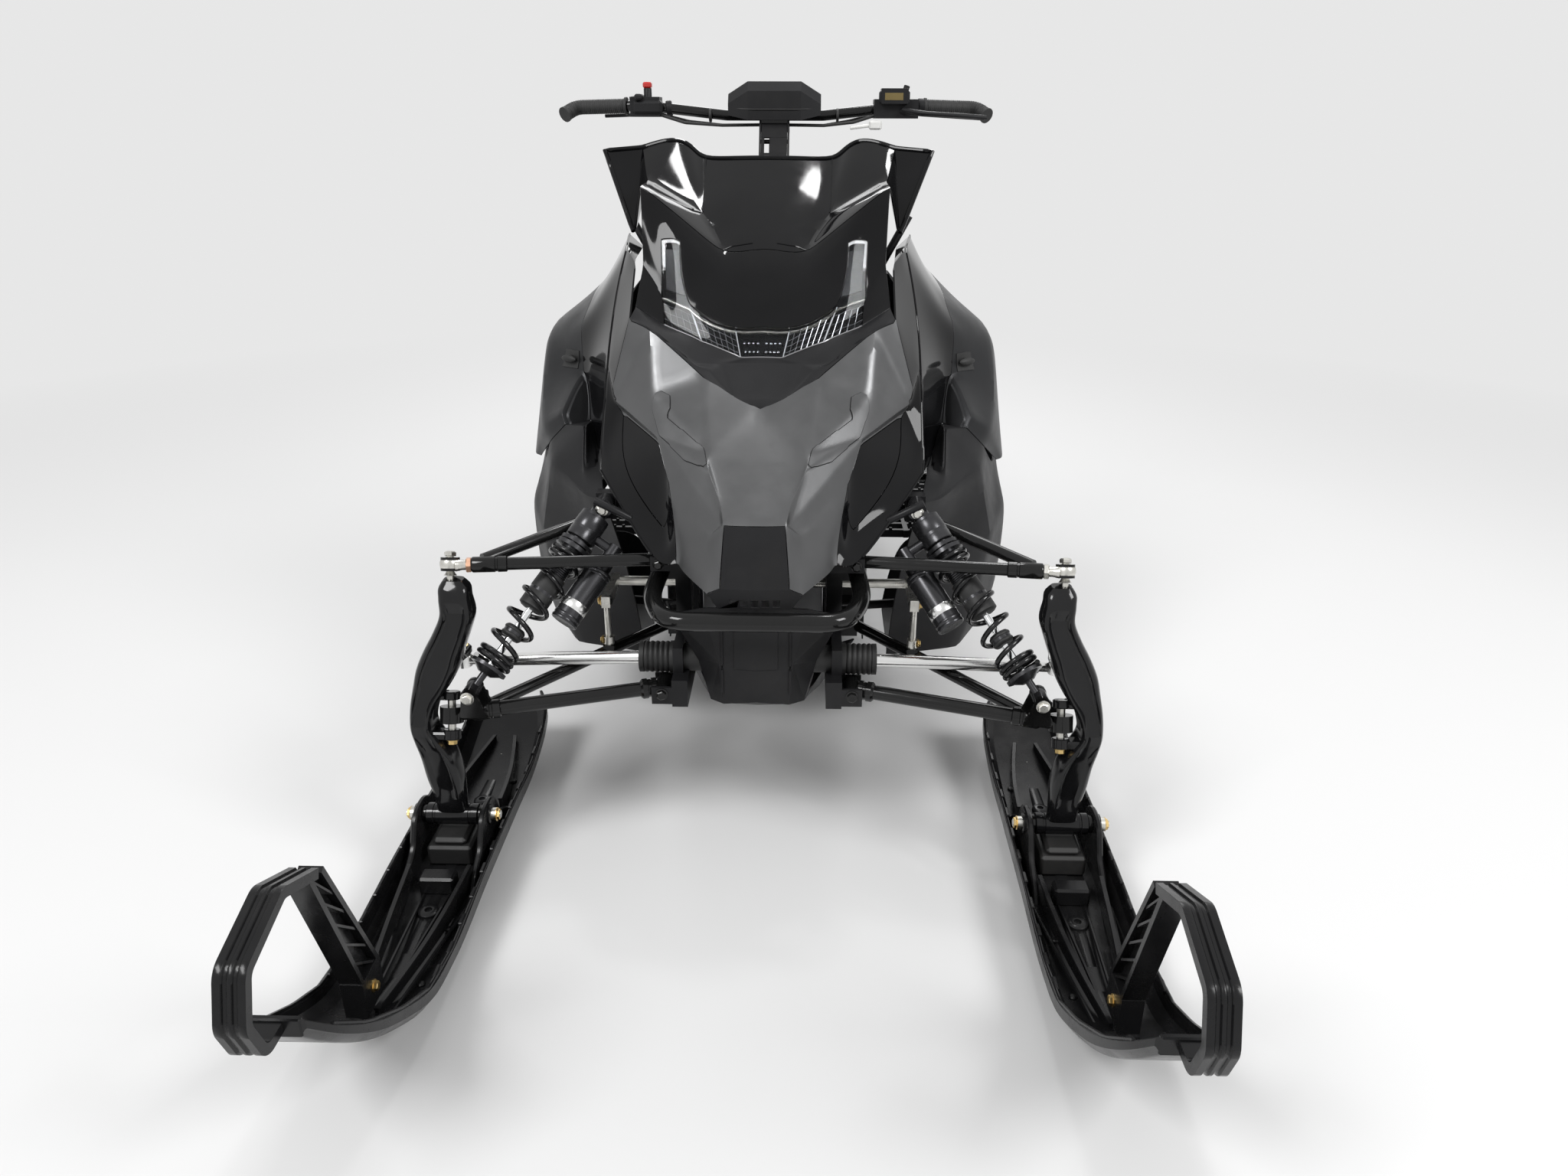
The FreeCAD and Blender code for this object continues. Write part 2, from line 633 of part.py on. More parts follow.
def tunnel():
    """Folded sheet tunnel, open below, with raised rear corners."""
    w = TUN_W
    t = SHEET
    low = 235
    sec = [(-w, low), (-w, TUN_Z), (w, TUN_Z), (w, low), (w - t, low), (w - t, TUN_Z - t),
           (-w + t, TUN_Z - t), (-w + t, low)]
    body = prism_y(sec, TUN_Y0, TUN_Y1)
    end = TUN_Y1 + 8
    cut = prism_x([(820, low - 35), (860, BOARD_Z - 30), (2040, BOARD_Z - 30), (end, 440), (end, low - 35)],
                  -w - 50, w + 50)
    body = body.cut(cut)
    dx, dy0, dy1, dz = RACK_DECK
    body = body.fuse(box(-dx, dx, dy0, dy1, TUN_Z - t / 2, TUN_Z + dz)).removeSplitter()
    holes = []
    for x in (-RACK[0] / 2, RACK[0] / 2):
        for y in (RACK_Y - RACK[1] / 2, RACK_Y + RACK[1] / 2):
            holes.append(rod((x, y, TUN_Z - 20), (x, y, TUN_Z + 20), RACK_HOLE))
    return body.cut(Part.makeCompound(holes))


def running_boards():
    """Open boards: inner and outer rails, toothed cross bars and a middle strip."""
    bits = []
    x0 = TUN_W
    y0 = 885
    y1 = 2040
    # y, outer edge of the board
    edge = ((y0, 448), (1300, 440), (y1, 400))

    def outer(y):
        for (ya, xa), (yb, xb) in zip(edge, edge[1:]):
            if y <= yb:
                return xa + (xb - xa) * (y - ya) / (yb - ya)
        return edge[-1][1]
    bits.append(box(x0, x0 + 22, y0, y1, BOARD_Z - 22, BOARD_Z))
    pts = [(x, y) for y, x in edge] + [(x - 26, y) for y, x in reversed(edge)]
    bits.append(prism_z(pts, BOARD_Z - 26, BOARD_Z))
    n = 26
    for i in range(n):
        y = y0 + 8 + i * (y1 - y0 - 16) / (n - 1)
        bits.append(box(x0 + 10, outer(y) - 12, y - 5, y + 5, BOARD_Z - 22, BOARD_Z - 3))
    mid = [(x0 + 112, y0), (x0 + 124, y0), (x0 + 112, y1), (x0 + 100, y1)]
    bits.append(prism_z(mid, BOARD_Z - 22, BOARD_Z - 3))
    return pair(join(bits))


def toe_holds():
    """Bent tube at the front of each board, from the tunnel side to the outer rail."""
    z = BOARD_Z
    pts = [(TUN_W, 930, z + 120), (400, 930, z + 120), (434, 930, z + 70), (434, 950, z + 40), (434, 950, z)]
    return pair(tube(pts, 16, 11))


def loop_path():
    """Closed corners (Y, Z) of the belt's inner face with short arc steps."""
    dy, dz = DRIVE
    ry, rz = REAR_AXLE
    pts = []
    for a in range(-90, 91, 15):
        pts.append((ry + IDLER_R * math.cos(math.radians(a)), rz + IDLER_R * math.sin(math.radians(a))))
    pts.append((1600, 387))
    pts.append((1560, 394))
    pts.append((1500, 397))
    for a in range(90, 246, 15):
        pts.append((dy + DRIVE_R * math.cos(math.radians(a)), dz + DRIVE_R * math.sin(math.radians(a))))
    pts.append((960, 84))
    pts.append((1020, 52))
    pts.append((1080, LUG + BELT))
    return pts


def offset(pts, d):
    """Outline moved outwards by d, corner by corner (drawn anticlockwise)."""
    out = []
    n = len(pts)
    for i in range(n):
        a = V(pts[i][0] - pts[i - 1][0], pts[i][1] - pts[i - 1][1], 0).normalize()
        b = V(pts[(i + 1) % n][0] - pts[i][0], pts[(i + 1) % n][1] - pts[i][1], 0).normalize()
        na = V(a.y, -a.x, 0)
        nb = V(b.y, -b.x, 0)
        m = (na + nb).normalize()
        k = d / m.dot(na)
        out.append((pts[i][0] + m.x * k, pts[i][1] + m.y * k))
    return out


def track():
    """Endless belt with rows of tapered lugs, three or two to a row."""
    inner = loop_path()
    outer = offset(inner, BELT)
    belt = prism_x(outer, -TRACK_W, TRACK_W).cut(prism_x(inner, -TRACK_W - 5, TRACK_W + 5))
    n = len(outer)
    length = [0.0]
    for i in range(n):
        a = outer[i]
        b = outer[(i + 1) % n]
        length.append(length[-1] + math.hypot(b[0] - a[0], b[1] - a[1]))
    rows = 48
    # start and end across the belt for the two kinds of row
    kinds = (((-186, -92), (92, 186)), ((-88, -4), (4, 88)))
    lugs = []
    for r in range(rows):
        s = length[-1] * (r + 0.5) / rows
        k = max(i for i in range(n) if length[i] <= s)
        a = outer[k]
        b = outer[(k + 1) % n]
        f = (s - length[k]) / (length[k + 1] - length[k])
        c = V(0, a[0] + (b[0] - a[0]) * f, a[1] + (b[1] - a[1]) * f)
        t = V(0, b[0] - a[0], b[1] - a[1]).normalize()
        u = V(0, t.z, -t.y)
        for x0, x1 in kinds[r % 2]:
            pts = [c - t * 9 - u * 4, c + t * 9 - u * 4, c + t * 5 + u * LUG, c - t * 5 + u * LUG]
            pts = [p + V(x0, 0, 0) for p in pts]
            f2 = Part.Face(Part.makePolygon(pts + [pts[0]]))
            lugs.append(f2.extrude(V(x1 - x0, 0, 0)))
    return belt.multiFuse(lugs).removeSplitter()


def skid_frame():
    """Slide rails with sliders, swing arms, cross shafts and the inner dampers."""
    bits = []
    z0 = LUG + BELT
    rail = [(985, 72 + 25), (1015, 54 + 22), (1090, z0), (2050, z0), (2095, z0 + 80), (2080, z0 + 118),
            (2040, z0 + 118), (1960, z0 + 62), (1100, z0 + 62), (1000, z0 + 90)]
    fy, fz = FRONT_SHAFT
    ry, rz = REAR_SHAFT
    for s in (-1, 1):
        a, b = sorted((s * 108, s * 122))
        bits.append(prism_x(rail, a, b))
        bits.append(rod((s * 86, 1176, z0 + 43), (s * 86, fy + 4, fz - 4), 14))
        bits.append(rod((s * 86, 1835, z0 + 48), (s * 86, ry + 4, rz - 3), 14))
    wide = TUN_W - SHEET
    for y, z, r, w in ((1180, z0 + 40, 11, 122), (1840, z0 + 44, 11, 122), (fy, fz, 12, wide),
                       (ry, rz, 12, wide), (1330, z0 + 44, 9, 122)):
        bits.append(rod((-w, y, z), (w, y, z), r))
    bits.append(rod((0, 1184, z0 + 42), (0, fy + 3, fz - 3), 21))
    bits.append(rod((0, 1330, z0 + 44), (0, ry - 4, rz - 3), 24))
    body = join(bits)
    for y, z, r in AXLES:
        body = body.cut(rod((-140, y, z), (140, y, z), r + 0.3))
    return body


def wheel(x, y, z, r, w):
    """Spoked idler wheel with a rim, hub and five spokes."""
    rim = rod((x - w, y, z), (x + w, y, z), r).cut(rod((x - w - 1, y, z), (x + w + 1, y, z), r - 16))
    hub = rod((x - w - 3, y, z), (x + w + 3, y, z), 20)
    bits = [rim, hub]
    for i in range(5):
        a = math.radians(72 * i + 18)
        p = (x, y + 14 * math.cos(a), z + 14 * math.sin(a))
        q = (x, y + (r - 10) * math.cos(a), z + (r - 10) * math.sin(a))
        bits.append(rod(p, q, 7))
    return join(bits)


def idler_wheels():
    """Rear idlers and bogies on their axles, and rollers on the rear suspension shaft."""
    out = []
    y, z, r = AXLES[0]
    big = IDLER_R * math.cos(math.radians(7.5)) - 0.4
    out.append(join([rod((-172, y, z), (172, y, z), r)] + [wheel(x, y, z, big, 10) for x in (-160, -60, 60, 160)]))
    for y, z, r in AXLES[1:]:
        out.append(join([rod((-150, y, z), (150, y, z), r)] + [wheel(x, y, z, BOGIE_R, 9) for x in (-148, 148)]))
    y, z = REAR_SHAFT
    for x in (-140, 140):
        out.append(wheel(x, y, z, BOGIE_R, 10).cut(rod((x - 20, y, z), (x + 20, y, z), 12)))
    return Part.makeCompound(out)


def drive_axle():
    """Cross axle with four toothed drive sprockets."""
    y, z = DRIVE
    bits = [rod((-TUN_W + SHEET, y, z), (TUN_W - SHEET, y, z), 16)]
    for x in (-130, -50, 50, 130):
        bits.append(rod((x - 12, y, z), (x + 12, y, z), 70))
        for i in range(8):
            a = math.radians(45 * i + 10)
            p = (x, y + 60 * math.cos(a), z + 60 * math.sin(a))
            q = (x, y + 91 * math.cos(a), z + 91 * math.sin(a))
            bits.append(rod(p, q, 8))
    return join(bits)


# Body corners on the rider's left: name, then X, Y, Z.
CORNERS = {
    # screen: top edge, rib foot, valley, front corner, ear foot, fold over the cowl
    "W0": (0, 722, 1189), "W1": (127, 730, 1189), "W2": (181, 740, 1220), "W3": (250, 705, 1208),
    "W4": (321, 680, 1202), "RF": (123, 580, 1095), "VA": (230, 620, 1151), "C1": (232, 520, 1144),
    "EF": (257, 580, 1060), "F0": (0, 490, 1035), "F1": (77, 490, 1035), "FM": (155, 505, 1090),
    # cowl fold, lens top line, lens arm, lens bottom line
    "K0": (0, 436, 985), "K1": (78, 436, 985), "T0": (0, 382, 912), "T1": (48, 380, 912),
    "AD": (137, 415, 947), "AA": (156, 470, 1053), "AB": (190, 480, 1052), "AC": (188, 440, 962),
    "B0": (0, 341, 866), "B1": (38, 340, 866), "B2": (110, 372, 888), "B3": (181, 405, 912),
    "SB": (226, 470, 1010),
    # lamp surround: plate under the lens, step, arms
    "N0": (0, 335, 854), "N1": (71, 335, 854), "VC0": (0, 290, 806), "VC": (48, 290, 806),
    "VN": (93, 318, 847), "SA": (130, 338, 862), "SO": (232, 400, 945),
    # hood: notch lip, creases, outer edge, nose band
    "VL0": (0, 280, 787), "VL": (48, 280, 787), "VM": (103, 310, 836), "CT": (202, 360, 909),
    "HT": (241, 380, 929), "D": (276, 368, 808), "E": (270, 358, 785), "CM": (191, 300, 807),
    "F": (179, 240, 745), "U": (88, 180, 736), "FL": (83, 140, 714), "BT0": (0, 135, 707),
    "BT": (66, 135, 707), "BM": (59, 85, 677), "G": (61, 70, 648), "PT0": (0, 46, 650),
    "PT": (50, 50, 650),
    # cheek beside the nose and the grey edge round the plate
    "H": (78, 70, 624), "I": (155, 183, 679), "CB": (114, 90, 591), "CC": (124, 84, 553),
    "J": (137, 100, 562), "K": (80, 35, 534), "PB": (58, 30, 546), "PB0": (0, 26, 546),
    "PG": (62, 32, 508), "PG0": (0, 28, 508),
    # intake window
    "N": (256, 345, 757), "WF": (173, 235, 730), "O": (163, 165, 604), "P": (233, 240, 663),
    # gloss side: bright edge, then its back border
    "ST": (240, 470, 1015), "SU": (262, 740, 1015), "BE0": (290, 740, 1040), "BEB": (300, 900, 1002),
    "BE1": (269, 550, 1025), "BE2": (294, 420, 831), "BE3": (296, 300, 665), "BE4": (181, 122, 568),
    "G2": (352, 900, 948), "GA": (357, 680, 933), "GB": (374, 600, 875), "GC": (372, 580, 789),
    "GD": (353, 520, 702), "GE": (317, 420, 640),
    # matt flank: outer shell and arch lip
    "S1": (420, 910, 880), "S2": (455, 720, 858), "S3": (484, 760, 790), "S4": (470, 640, 760),
    "S5": (480, 930, 705), "S6": (500, 780, 640), "SL": (498, 630, 606), "A1": (406, 505, 722),
    "A2": (455, 545, 690), "L1": (398, 492, 700), "L2": (440, 520, 655), "L3": (482, 610, 600),
    # fender and lower body
    "FA": (353, 447, 706), "FD": (350, 402, 636), "FB": (341, 362, 597), "FC": (296, 320, 600),
    "AM": (421, 455, 630), "M1": (480, 640, 590), "M2": (500, 790, 630), "M3": (478, 930, 690),
    "Q1": (462, 500, 480), "Q2": (508, 620, 500), "Q3": (506, 780, 500), "Q4": (475, 905, 520),
    "R0": (268, 380, 420), "R1": (440, 510, 320), "R2": (504, 620, 340), "R3": (500, 780, 350),
    "R4": (470, 870, 385), "Y0": (255, 450, 218), "Y1": (412, 520, 206), "Y2": (472, 600, 240),
    "Y3": (470, 760, 250), "Y4": (440, 850, 335), "X0": (262, 560, 190), "X1": (400, 600, 186),
    "X2": (400, 740, 200), "X3": (320, 850, 325), "X4": (262, 740, 205),
}
# Faces of each panel by corner, the rider's left half.
PANELS = {
    "windshield": (("W0", "W1", "RF"), ("W0", "RF", "F1", "F0"), ("W1", "W2", "RF"), ("W2", "W3", "VA"),
                   ("W2", "VA", "RF"), ("RF", "VA", "C1"), ("RF", "C1", "FM"), ("RF", "FM", "F1"),
                   ("W3", "W4", "EF"), ("W3", "EF", "VA"), ("VA", "EF", "C1")),
    "cowl": (("F0", "F1", "K1", "K0"), ("K0", "K1", "T1", "T0"), ("F1", "FM", "AA", "K1"),
             ("K1", "AA", "AD"), ("K1", "AD", "T1"), ("FM", "C1", "AB", "AA"), ("C1", "SB", "AC", "AB"),
             ("AC", "SB", "SO", "B3")),
    "headlight": (("T0", "T1", "B1", "B0"), ("T1", "AD", "B2", "B1"), ("AD", "AC", "B3", "B2"),
                  ("AD", "AA", "AB", "AC")),
    "lamp_surround": (("VL0", "VL", "VC", "VC0"), ("VL", "VM", "VN", "VC"), ("VC0", "VC", "N1", "N0"),
                      ("VC", "VN", "N1"), ("N0", "N1", "B1", "B0"), ("N1", "VN", "SA"),
                      ("N1", "SA", "B2", "B1"), ("SA", "SO", "B3", "B2"), ("VN", "VM", "CT", "SA"),
                      ("SA", "CT", "HT", "SO")),
    "hood": (("VL0", "VL", "VM"), ("VL0", "VM", "U"), ("VL0", "U", "BT", "BT0"), ("VM", "CT", "CM"),
             ("VM", "CM", "U"), ("CM", "F", "U"), ("U", "F", "FL"), ("F", "G", "FL"), ("U", "FL", "BT"),
             ("FL", "G", "BM"), ("FL", "BM", "BT"), ("HT", "E", "CT"), ("HT", "D", "E"),
             ("CT", "E", "CM"), ("CM", "E", "F"), ("E", "N", "WF", "F"), ("F", "WF", "I"),
             ("F", "I", "G"), ("BT0", "BT", "BM", "PT"), ("BT0", "PT", "PT0"), ("BM", "G", "PT"),
             ("G", "H", "PT"), ("I", "H", "G"), ("I", "CB", "H"), ("I", "J", "CB"), ("CB", "K", "H"),
             ("CB", "CC", "K"), ("CB", "J", "CC"), ("H", "K", "PB", "PT")),
    "nose_plate": (("PT0", "PT", "PB", "PB0"), ("PB0", "PB", "PG", "PG0"), ("PB", "K", "PG")),
    "intake": (("N", "P", "WF"), ("WF", "P", "O", "I")),
    "side_panels": (("ST", "HT", "BE2", "BE1"), ("HT", "D", "BE2"), ("D", "E", "BE2"),
                    ("E", "N", "BE3", "BE2"), ("N", "P", "BE3"), ("P", "O", "BE4", "BE3"),
                    ("O", "I", "J", "BE4"), ("BE0", "BE1", "GB", "GA"), ("BE1", "BE2", "GC", "GB"),
                    ("BE2", "GD", "GC"), ("BE2", "BE3", "GE", "GD"), ("BEB", "BE0", "GA", "G2"),
                    ("ST", "BE1", "BE0", "SU")),
    "flank_panels": (("G2", "GA", "S2", "S1"), ("GA", "GB", "S2"), ("GB", "GC", "S4", "S2"),
                     ("GC", "GD", "A1"), ("GC", "A1", "A2", "S4"), ("S1", "S2", "S3", "S5"),
                     ("S2", "S4", "S3"), ("S3", "S4", "SL", "S6"), ("S4", "A2", "SL"),
                     ("S5", "S3", "S6"), ("GD", "L1", "A1"), ("A1", "L1", "L2", "A2"),
                     ("A2", "L2", "L3", "SL")),
    "lower_panels": (("GD", "GE", "FD", "FA"), ("GE", "FC", "FB", "FD"), ("GD", "FA", "L1"),
                     ("FA", "AM", "L2", "L1"), ("FA", "FD", "AM"), ("FD", "FB", "AM"),
                     ("AM", "Q1", "M1", "L2"), ("M1", "Q2", "Q3", "M2"), ("Q1", "Q2", "M1"),
                     ("M2", "Q3", "Q4", "M3"), ("FB", "FC", "R0"), ("FB", "R0", "Q1", "AM"),
                     ("Q1", "R0", "R1"), ("Q1", "R1", "R2", "Q2"), ("Q2", "R2", "R3", "Q3"),
                     ("Q3", "R3", "R4", "Q4"), ("R0", "Y0", "Y1", "R1"), ("R1", "Y1", "Y2", "R2"),
                     ("R2", "Y2", "Y3", "R3"), ("R3", "Y3", "Y4", "R4"), ("Y0", "X0", "X1", "Y1"),
                     ("Y1", "X1", "X2", "Y2"), ("Y2", "X2", "Y3"), ("Y3", "X2", "X3", "Y4"),
                     ("X0", "X4", "X2", "X1"), ("X4", "X3", "X2")),
}
NORMALS = shared_normals()
LENS = 22.0              # depth of the headlight
# Stays from the frame to the inside of a panel: panel, start, towards, radius.
STAYS = (
    ("hood", (118, 140, 560), (142, 116, 631), 6),
    ("side_panels", (136, 200, 560), (290, 200, 640), 7),
    ("lower_panels", (140, 462, 322), (560, 540, 322), 9),
    ("flank_panels", (140, 484, 622), (520, 555, 705), 9),
    ("belly_pan", (136, 300, 310), (80, 300, 200), 7),
    ("nose_plate", (60, 140, 556), (30, 20, 530), 6),
    ("lamp_surround", (100, 484, 630), (100, 300, 900), 7),
)
# Bosses from the console to the inside of a panel: panel, start, towards, radius.
BOSSES = (
    ("windshield", (150, 700, 960), (150, 700, 1300), 8),
    ("cowl", (110, 570, 1000), (110, 420, 1030), 8),
    ("headlight", (160, 570, 940), (160, 380, 910), 8),
    ("side_panels", (225, 720, 970), (285, 720, 1080), 8),
)


def hood():
    """Charcoal hood from the lamp notch to the nose, with its cheeks."""
    return facets("hood", PANEL)


def intakes(hood_body):
    """Gloss windows in the intakes each side of the nose, trimmed by the hood."""
    return pair(facets("intake", PANEL, "left").cut(hood_body))


def nose_plate():
    """Textured plate in the nose with a row of slots over the bumper."""
    body = facets("nose_plate", PANEL)
    pitch = 18
    for i in range(-2, 3):
        x = i * pitch
        body = body.cut(box(x - 6, x + 6, 0, 60, 514, 526))
    return body


def belly_pan():
    """Nose underside between the lower arms, running back under the engine."""
    rows = (
        ((0, 62, 500), (90, 64, 496), (149, 82, 476), (166, 150, 470)),
        ((0, 52, 400), (64, 60, 392), (104, 98, 380), (116, 150, 380)),
        ((0, 50, 322), (58, 62, 312), (84, 100, 300), (92, 150, 296)),
        ((0, 110, 284), (60, 118, 282), (92, 150, 284), (104, 200, 284)),
        ((0, 240, 250), (70, 240, 250), (112, 240, 254), (120, 260, 280)),
        ((0, 478, 222), (80, 478, 222), (150, 478, 226), (190, 478, 240)))
    return skin(whole(rows), PANEL, (0, 300, 420))


def console(panels):
    """Tank, knee covers and dash as one closed cover on the tunnel, bored for the steering post."""
    # y, then half outline (X, Z) from the foot to the crown
    foot = TUN_W - 4
    rows = (
        (560, ((foot - 4, TUN_Z), (312, 700), (326, 845), (236, 985), (0, 1008))),
        (640, ((foot, TUN_Z), (324, 695), (340, 862), (240, 982), (0, 1004))),
        (740, ((foot, TUN_Z), (332, 690), (344, 870), (244, 968), (0, 966))),
        (840, ((foot, TUN_Z), (326, 690), (340, 868), (214, 922), (0, 900))),
        (960, ((foot - 2, TUN_Z), (262, 690), (250, 842), (165, 876), (0, 858))),
        (1060, ((foot - 8, TUN_Z), (218, 690), (204, 800), (136, 846), (0, 842))),
        (1124, ((foot - 18, TUN_Z), (190, 690), (170, 790), (112, 832), (0, 834))))
    secs = []
    for y, half in rows:
        secs.append([(x, y, z) for x, z in half] + [(-x, y, z) for x, z in reversed(half[:-1])])
    bits = [loft(secs)]
    for name, p, q, r in BOSSES:
        for s in (-1, 1):
            a = (s * p[0], p[1], p[2])
            b = (s * q[0], q[1], q[2])
            bits.append(reach(a, b, r, panels[name]))
    length = post_length() + 3
    return join(bits).cut(rod(post(0.25 * length), post(length), 12.3))


def seat():
    """Plain closed core of the seat."""
    # y, half width low, half width top, foot, crown
    rows = ((1130, 150, 90, TUN_Z + 0.3, 820), (1300, 165, 120, TUN_Z + 0.3, 812),
            (1560, 170, 135, TUN_Z + 0.3, 825), (1760, 160, 120, TUN_Z + 0.3, 830), (1830, 140, 90, TUN_Z + 0.3, 770))
    secs = []
    for y, wl, wt, z0, z1 in rows:
        zm = z1 - 60
        secs.append([(-wl, y, z0), (wl, y, z0), (wl, y, zm), (wt, y, z1), (-wt, y, z1), (-wl, y, zm)])
    return loft(secs)


def front_bumper():
    half = [(150, 8, 496), (184, 95, 500), (174, 215, 516)]
    pts = [(-x, y, z) for x, y, z in reversed(half)] + half
    return tube(pts, 32, 16)


def rear_bumper():
    """Rear grab loop standing on the tunnel top, with the tail light's cross tube."""
    z = TUN_Z
    w = TUN_W - 16
    half = [(w - 2, 2350, z + 94), (w + 4, 2180, z + 74), (w, 1990, z + 42), (w, 1990, z)]
    pts = [(-x, y, up) for x, y, up in reversed(half)] + half
    return tube(pts, 24, 13)


def snow_flap():
    w = TUN_W - 10
    z = TUN_Z - SHEET - 0.3
    y = TUN_Y1
    rows = (
        ((0, y - 12, z), (w, y - 12, z)),
        ((0, y + 10, z - 11.7), (w, y + 10, z - 11.7)),
        ((0, y + 68, 440), (w + 2, y + 68, 440)),
        ((0, y + 128, 300), (w + 7, y + 128, 300)))
    return skin(whole(rows), 5.0, (0, 2000, 300), 0.0)


def tail_light():
    return box(-60, 60, 2300, 2336.7, TUN_Z + 78, TUN_Z + 108)


def post(t):
    """Point on the steering post axis, t mm below the bar clamp."""
    return (0, POST_TOP[0] - t * math.sin(POST_TILT), POST_TOP[1] - t * math.cos(POST_TILT))


def post_length():
    """From the clamp down the tilted post to its foot in the console."""
    return (POST_TOP[1] - POST_FOOT) / math.cos(POST_TILT)


def bar():
    """Bar with a slight rise and pull back each side: X, back, up."""
    half = [(110, 4, 6), (300, 22, 26), (470, 40, 22)]
    y, z = POST_TOP
    pts = [(-x, y + b, z + c) for x, b, c in reversed(half)] + [(x, y + b, z + c) for x, b, c in half]
    return tube(pts, 60, BAR_R)


def handlebar():
    y, z = POST_TOP
    bits = [bar()]
    bits.append(rod(post(10), post(post_length()), 12))
    bits.append(box(-34, 34, y - 22, y + 22, z - 30, z + 22))
    return join(bits)


def grips():
    y, z = POST_TOP
    path = [(340, y + 26.3, z + 25.1), (462, y + 39, z + 22), (484, y + 10, z + 6)]
    return pair(tube(path, 16, 17)).cut(bar())


def bar_pad():
    y, z = POST_TOP
    secs = []
    for x, hy, z0, z1 in ((-105, 26, z + 6, z + 50), (-60, 40, z - 4, z + 76), (60, 40, z - 4, z + 76),
                          (105, 26, z + 6, z + 50)):
        secs.append([(x, y - hy, z0), (x, y + hy, z0), (x, y + hy, z1 - 20), (x, y + hy - 18, z1),
                     (x, y - hy + 18, z1), (x, y - hy, z1 - 20)])
    body = loft(secs)
    return body.cut(box(-36, 36, y - 24, y + 24, z - 40, z + 22)).cut(
        rod((-130, y + 5, z + 7), (130, y + 5, z + 7), 14))


def controls():
    y, z = POST_TOP
    bits = [box(-330, -262, y - 8, y + 48, z + 2, z + 44), rod((-290, y + 10, z + 40), (-290, y + 10, z + 62), 9)]
    left = join(bits)
    right = join([box(225, 325, y - 20, y + 42, z, z + 40), box(240, 300, y - 36, y + 10, z + 30, z + 62),
                  tube([(280, y - 10, z + 16), (330, y - 60, z + 10), (470, y - 44, z + 2)], 20, 6)])
    return Part.makeCompound([left.cut(bar()), right.cut(bar())])


def bar_cables():
    """Cables under the bar from the controls to the clamp block, two to each side."""
    y, z = POST_TOP
    # start, two bends and end: X, back, up
    routes = (((-264, 4, 7), (-205, -4, -10), (-120, -9, -15), (-32, -8, -14)),
              ((-264, 30, 8), (-200, 26, -7), (-120, 12, -15), (-32, 8, -14)),
              ((227, -10, 6), (180, -12, -8), (112, -10, -15), (32, -8, -14)),
              ((227, 34, 8), (172, 30, -5), (112, 13, -15), (32, 8, -14)))
    cables = [tube([(x, y + b, z + c) for x, b, c in route], 40, CABLE_R) for route in routes]
    return Part.makeCompound([c.cut(controls()).cut(handlebar()) for c in cables])


for name, shape in (("ski", ski()), ("ski_loop", ski_loop()), ("ski_hardware", ski_hardware()),
                    ("knuckle", knuckle()), ("tie_rod", tie_rod())):
    put(name + "_left", shape)
    put(name + "_right", flip(shape))
hood_body = hood()
panels = {"hood": hood_body, "cowl": facets("cowl", PANEL), "headlight": facets("headlight", LENS),
          "lamp_surround": facets("lamp_surround", PANEL), "windshield": facets("windshield", PANEL),
          "nose_plate": nose_plate(), "belly_pan": belly_pan(),
          "side_panels": Part.makeCompound([pair(facets("side_panels", PANEL, "left")), intakes(hood_body)]),
          "flank_panels": pair(facets("flank_panels", PANEL, "left")),
          "lower_panels": pair(facets("lower_panels", PANEL, "left"))}
panels["console"] = console(panels)
y, z = BOOT
for side in (-1, 1):
    panels["belly_pan"] = panels["belly_pan"].cut(rod((side * 80, y, z), (side * 130, y, z), 26))
put("tie_boots", boots())
put("upper_arms", upper_arms())
put("lower_arms", lower_arms())
put("front_shocks", shocks())
put("front_springs", springs())
put("sway_links", sway_links())
frame = front_frame(panels)
put("front_frame", frame)
for name in panels:
    put(name, panels[name])
put("tunnel", tunnel())
put("running_boards", running_boards())
put("toe_holds", toe_holds())
put("track", track())
put("skid_frame", skid_frame())
put("idler_wheels", idler_wheels())
put("drive_axle", drive_axle())
put("engine_block", box(-118, 118, 335, 452, 320, 640))
put("seat", seat())
put("front_bumper", front_bumper().cut(frame))
put("rear_bumper", rear_bumper())
put("snow_flap", snow_flap())
put("tail_light", tail_light())
put("handlebar", handlebar())
put("grips", grips())
put("bar_pad", bar_pad())
put("controls", controls())
put("bar_cables", bar_cables())
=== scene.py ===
import bpy
import bmesh
import json
import math
import numpy as np
from mathutils import Matrix, Vector
from mathutils.bvhtree import BVHTree

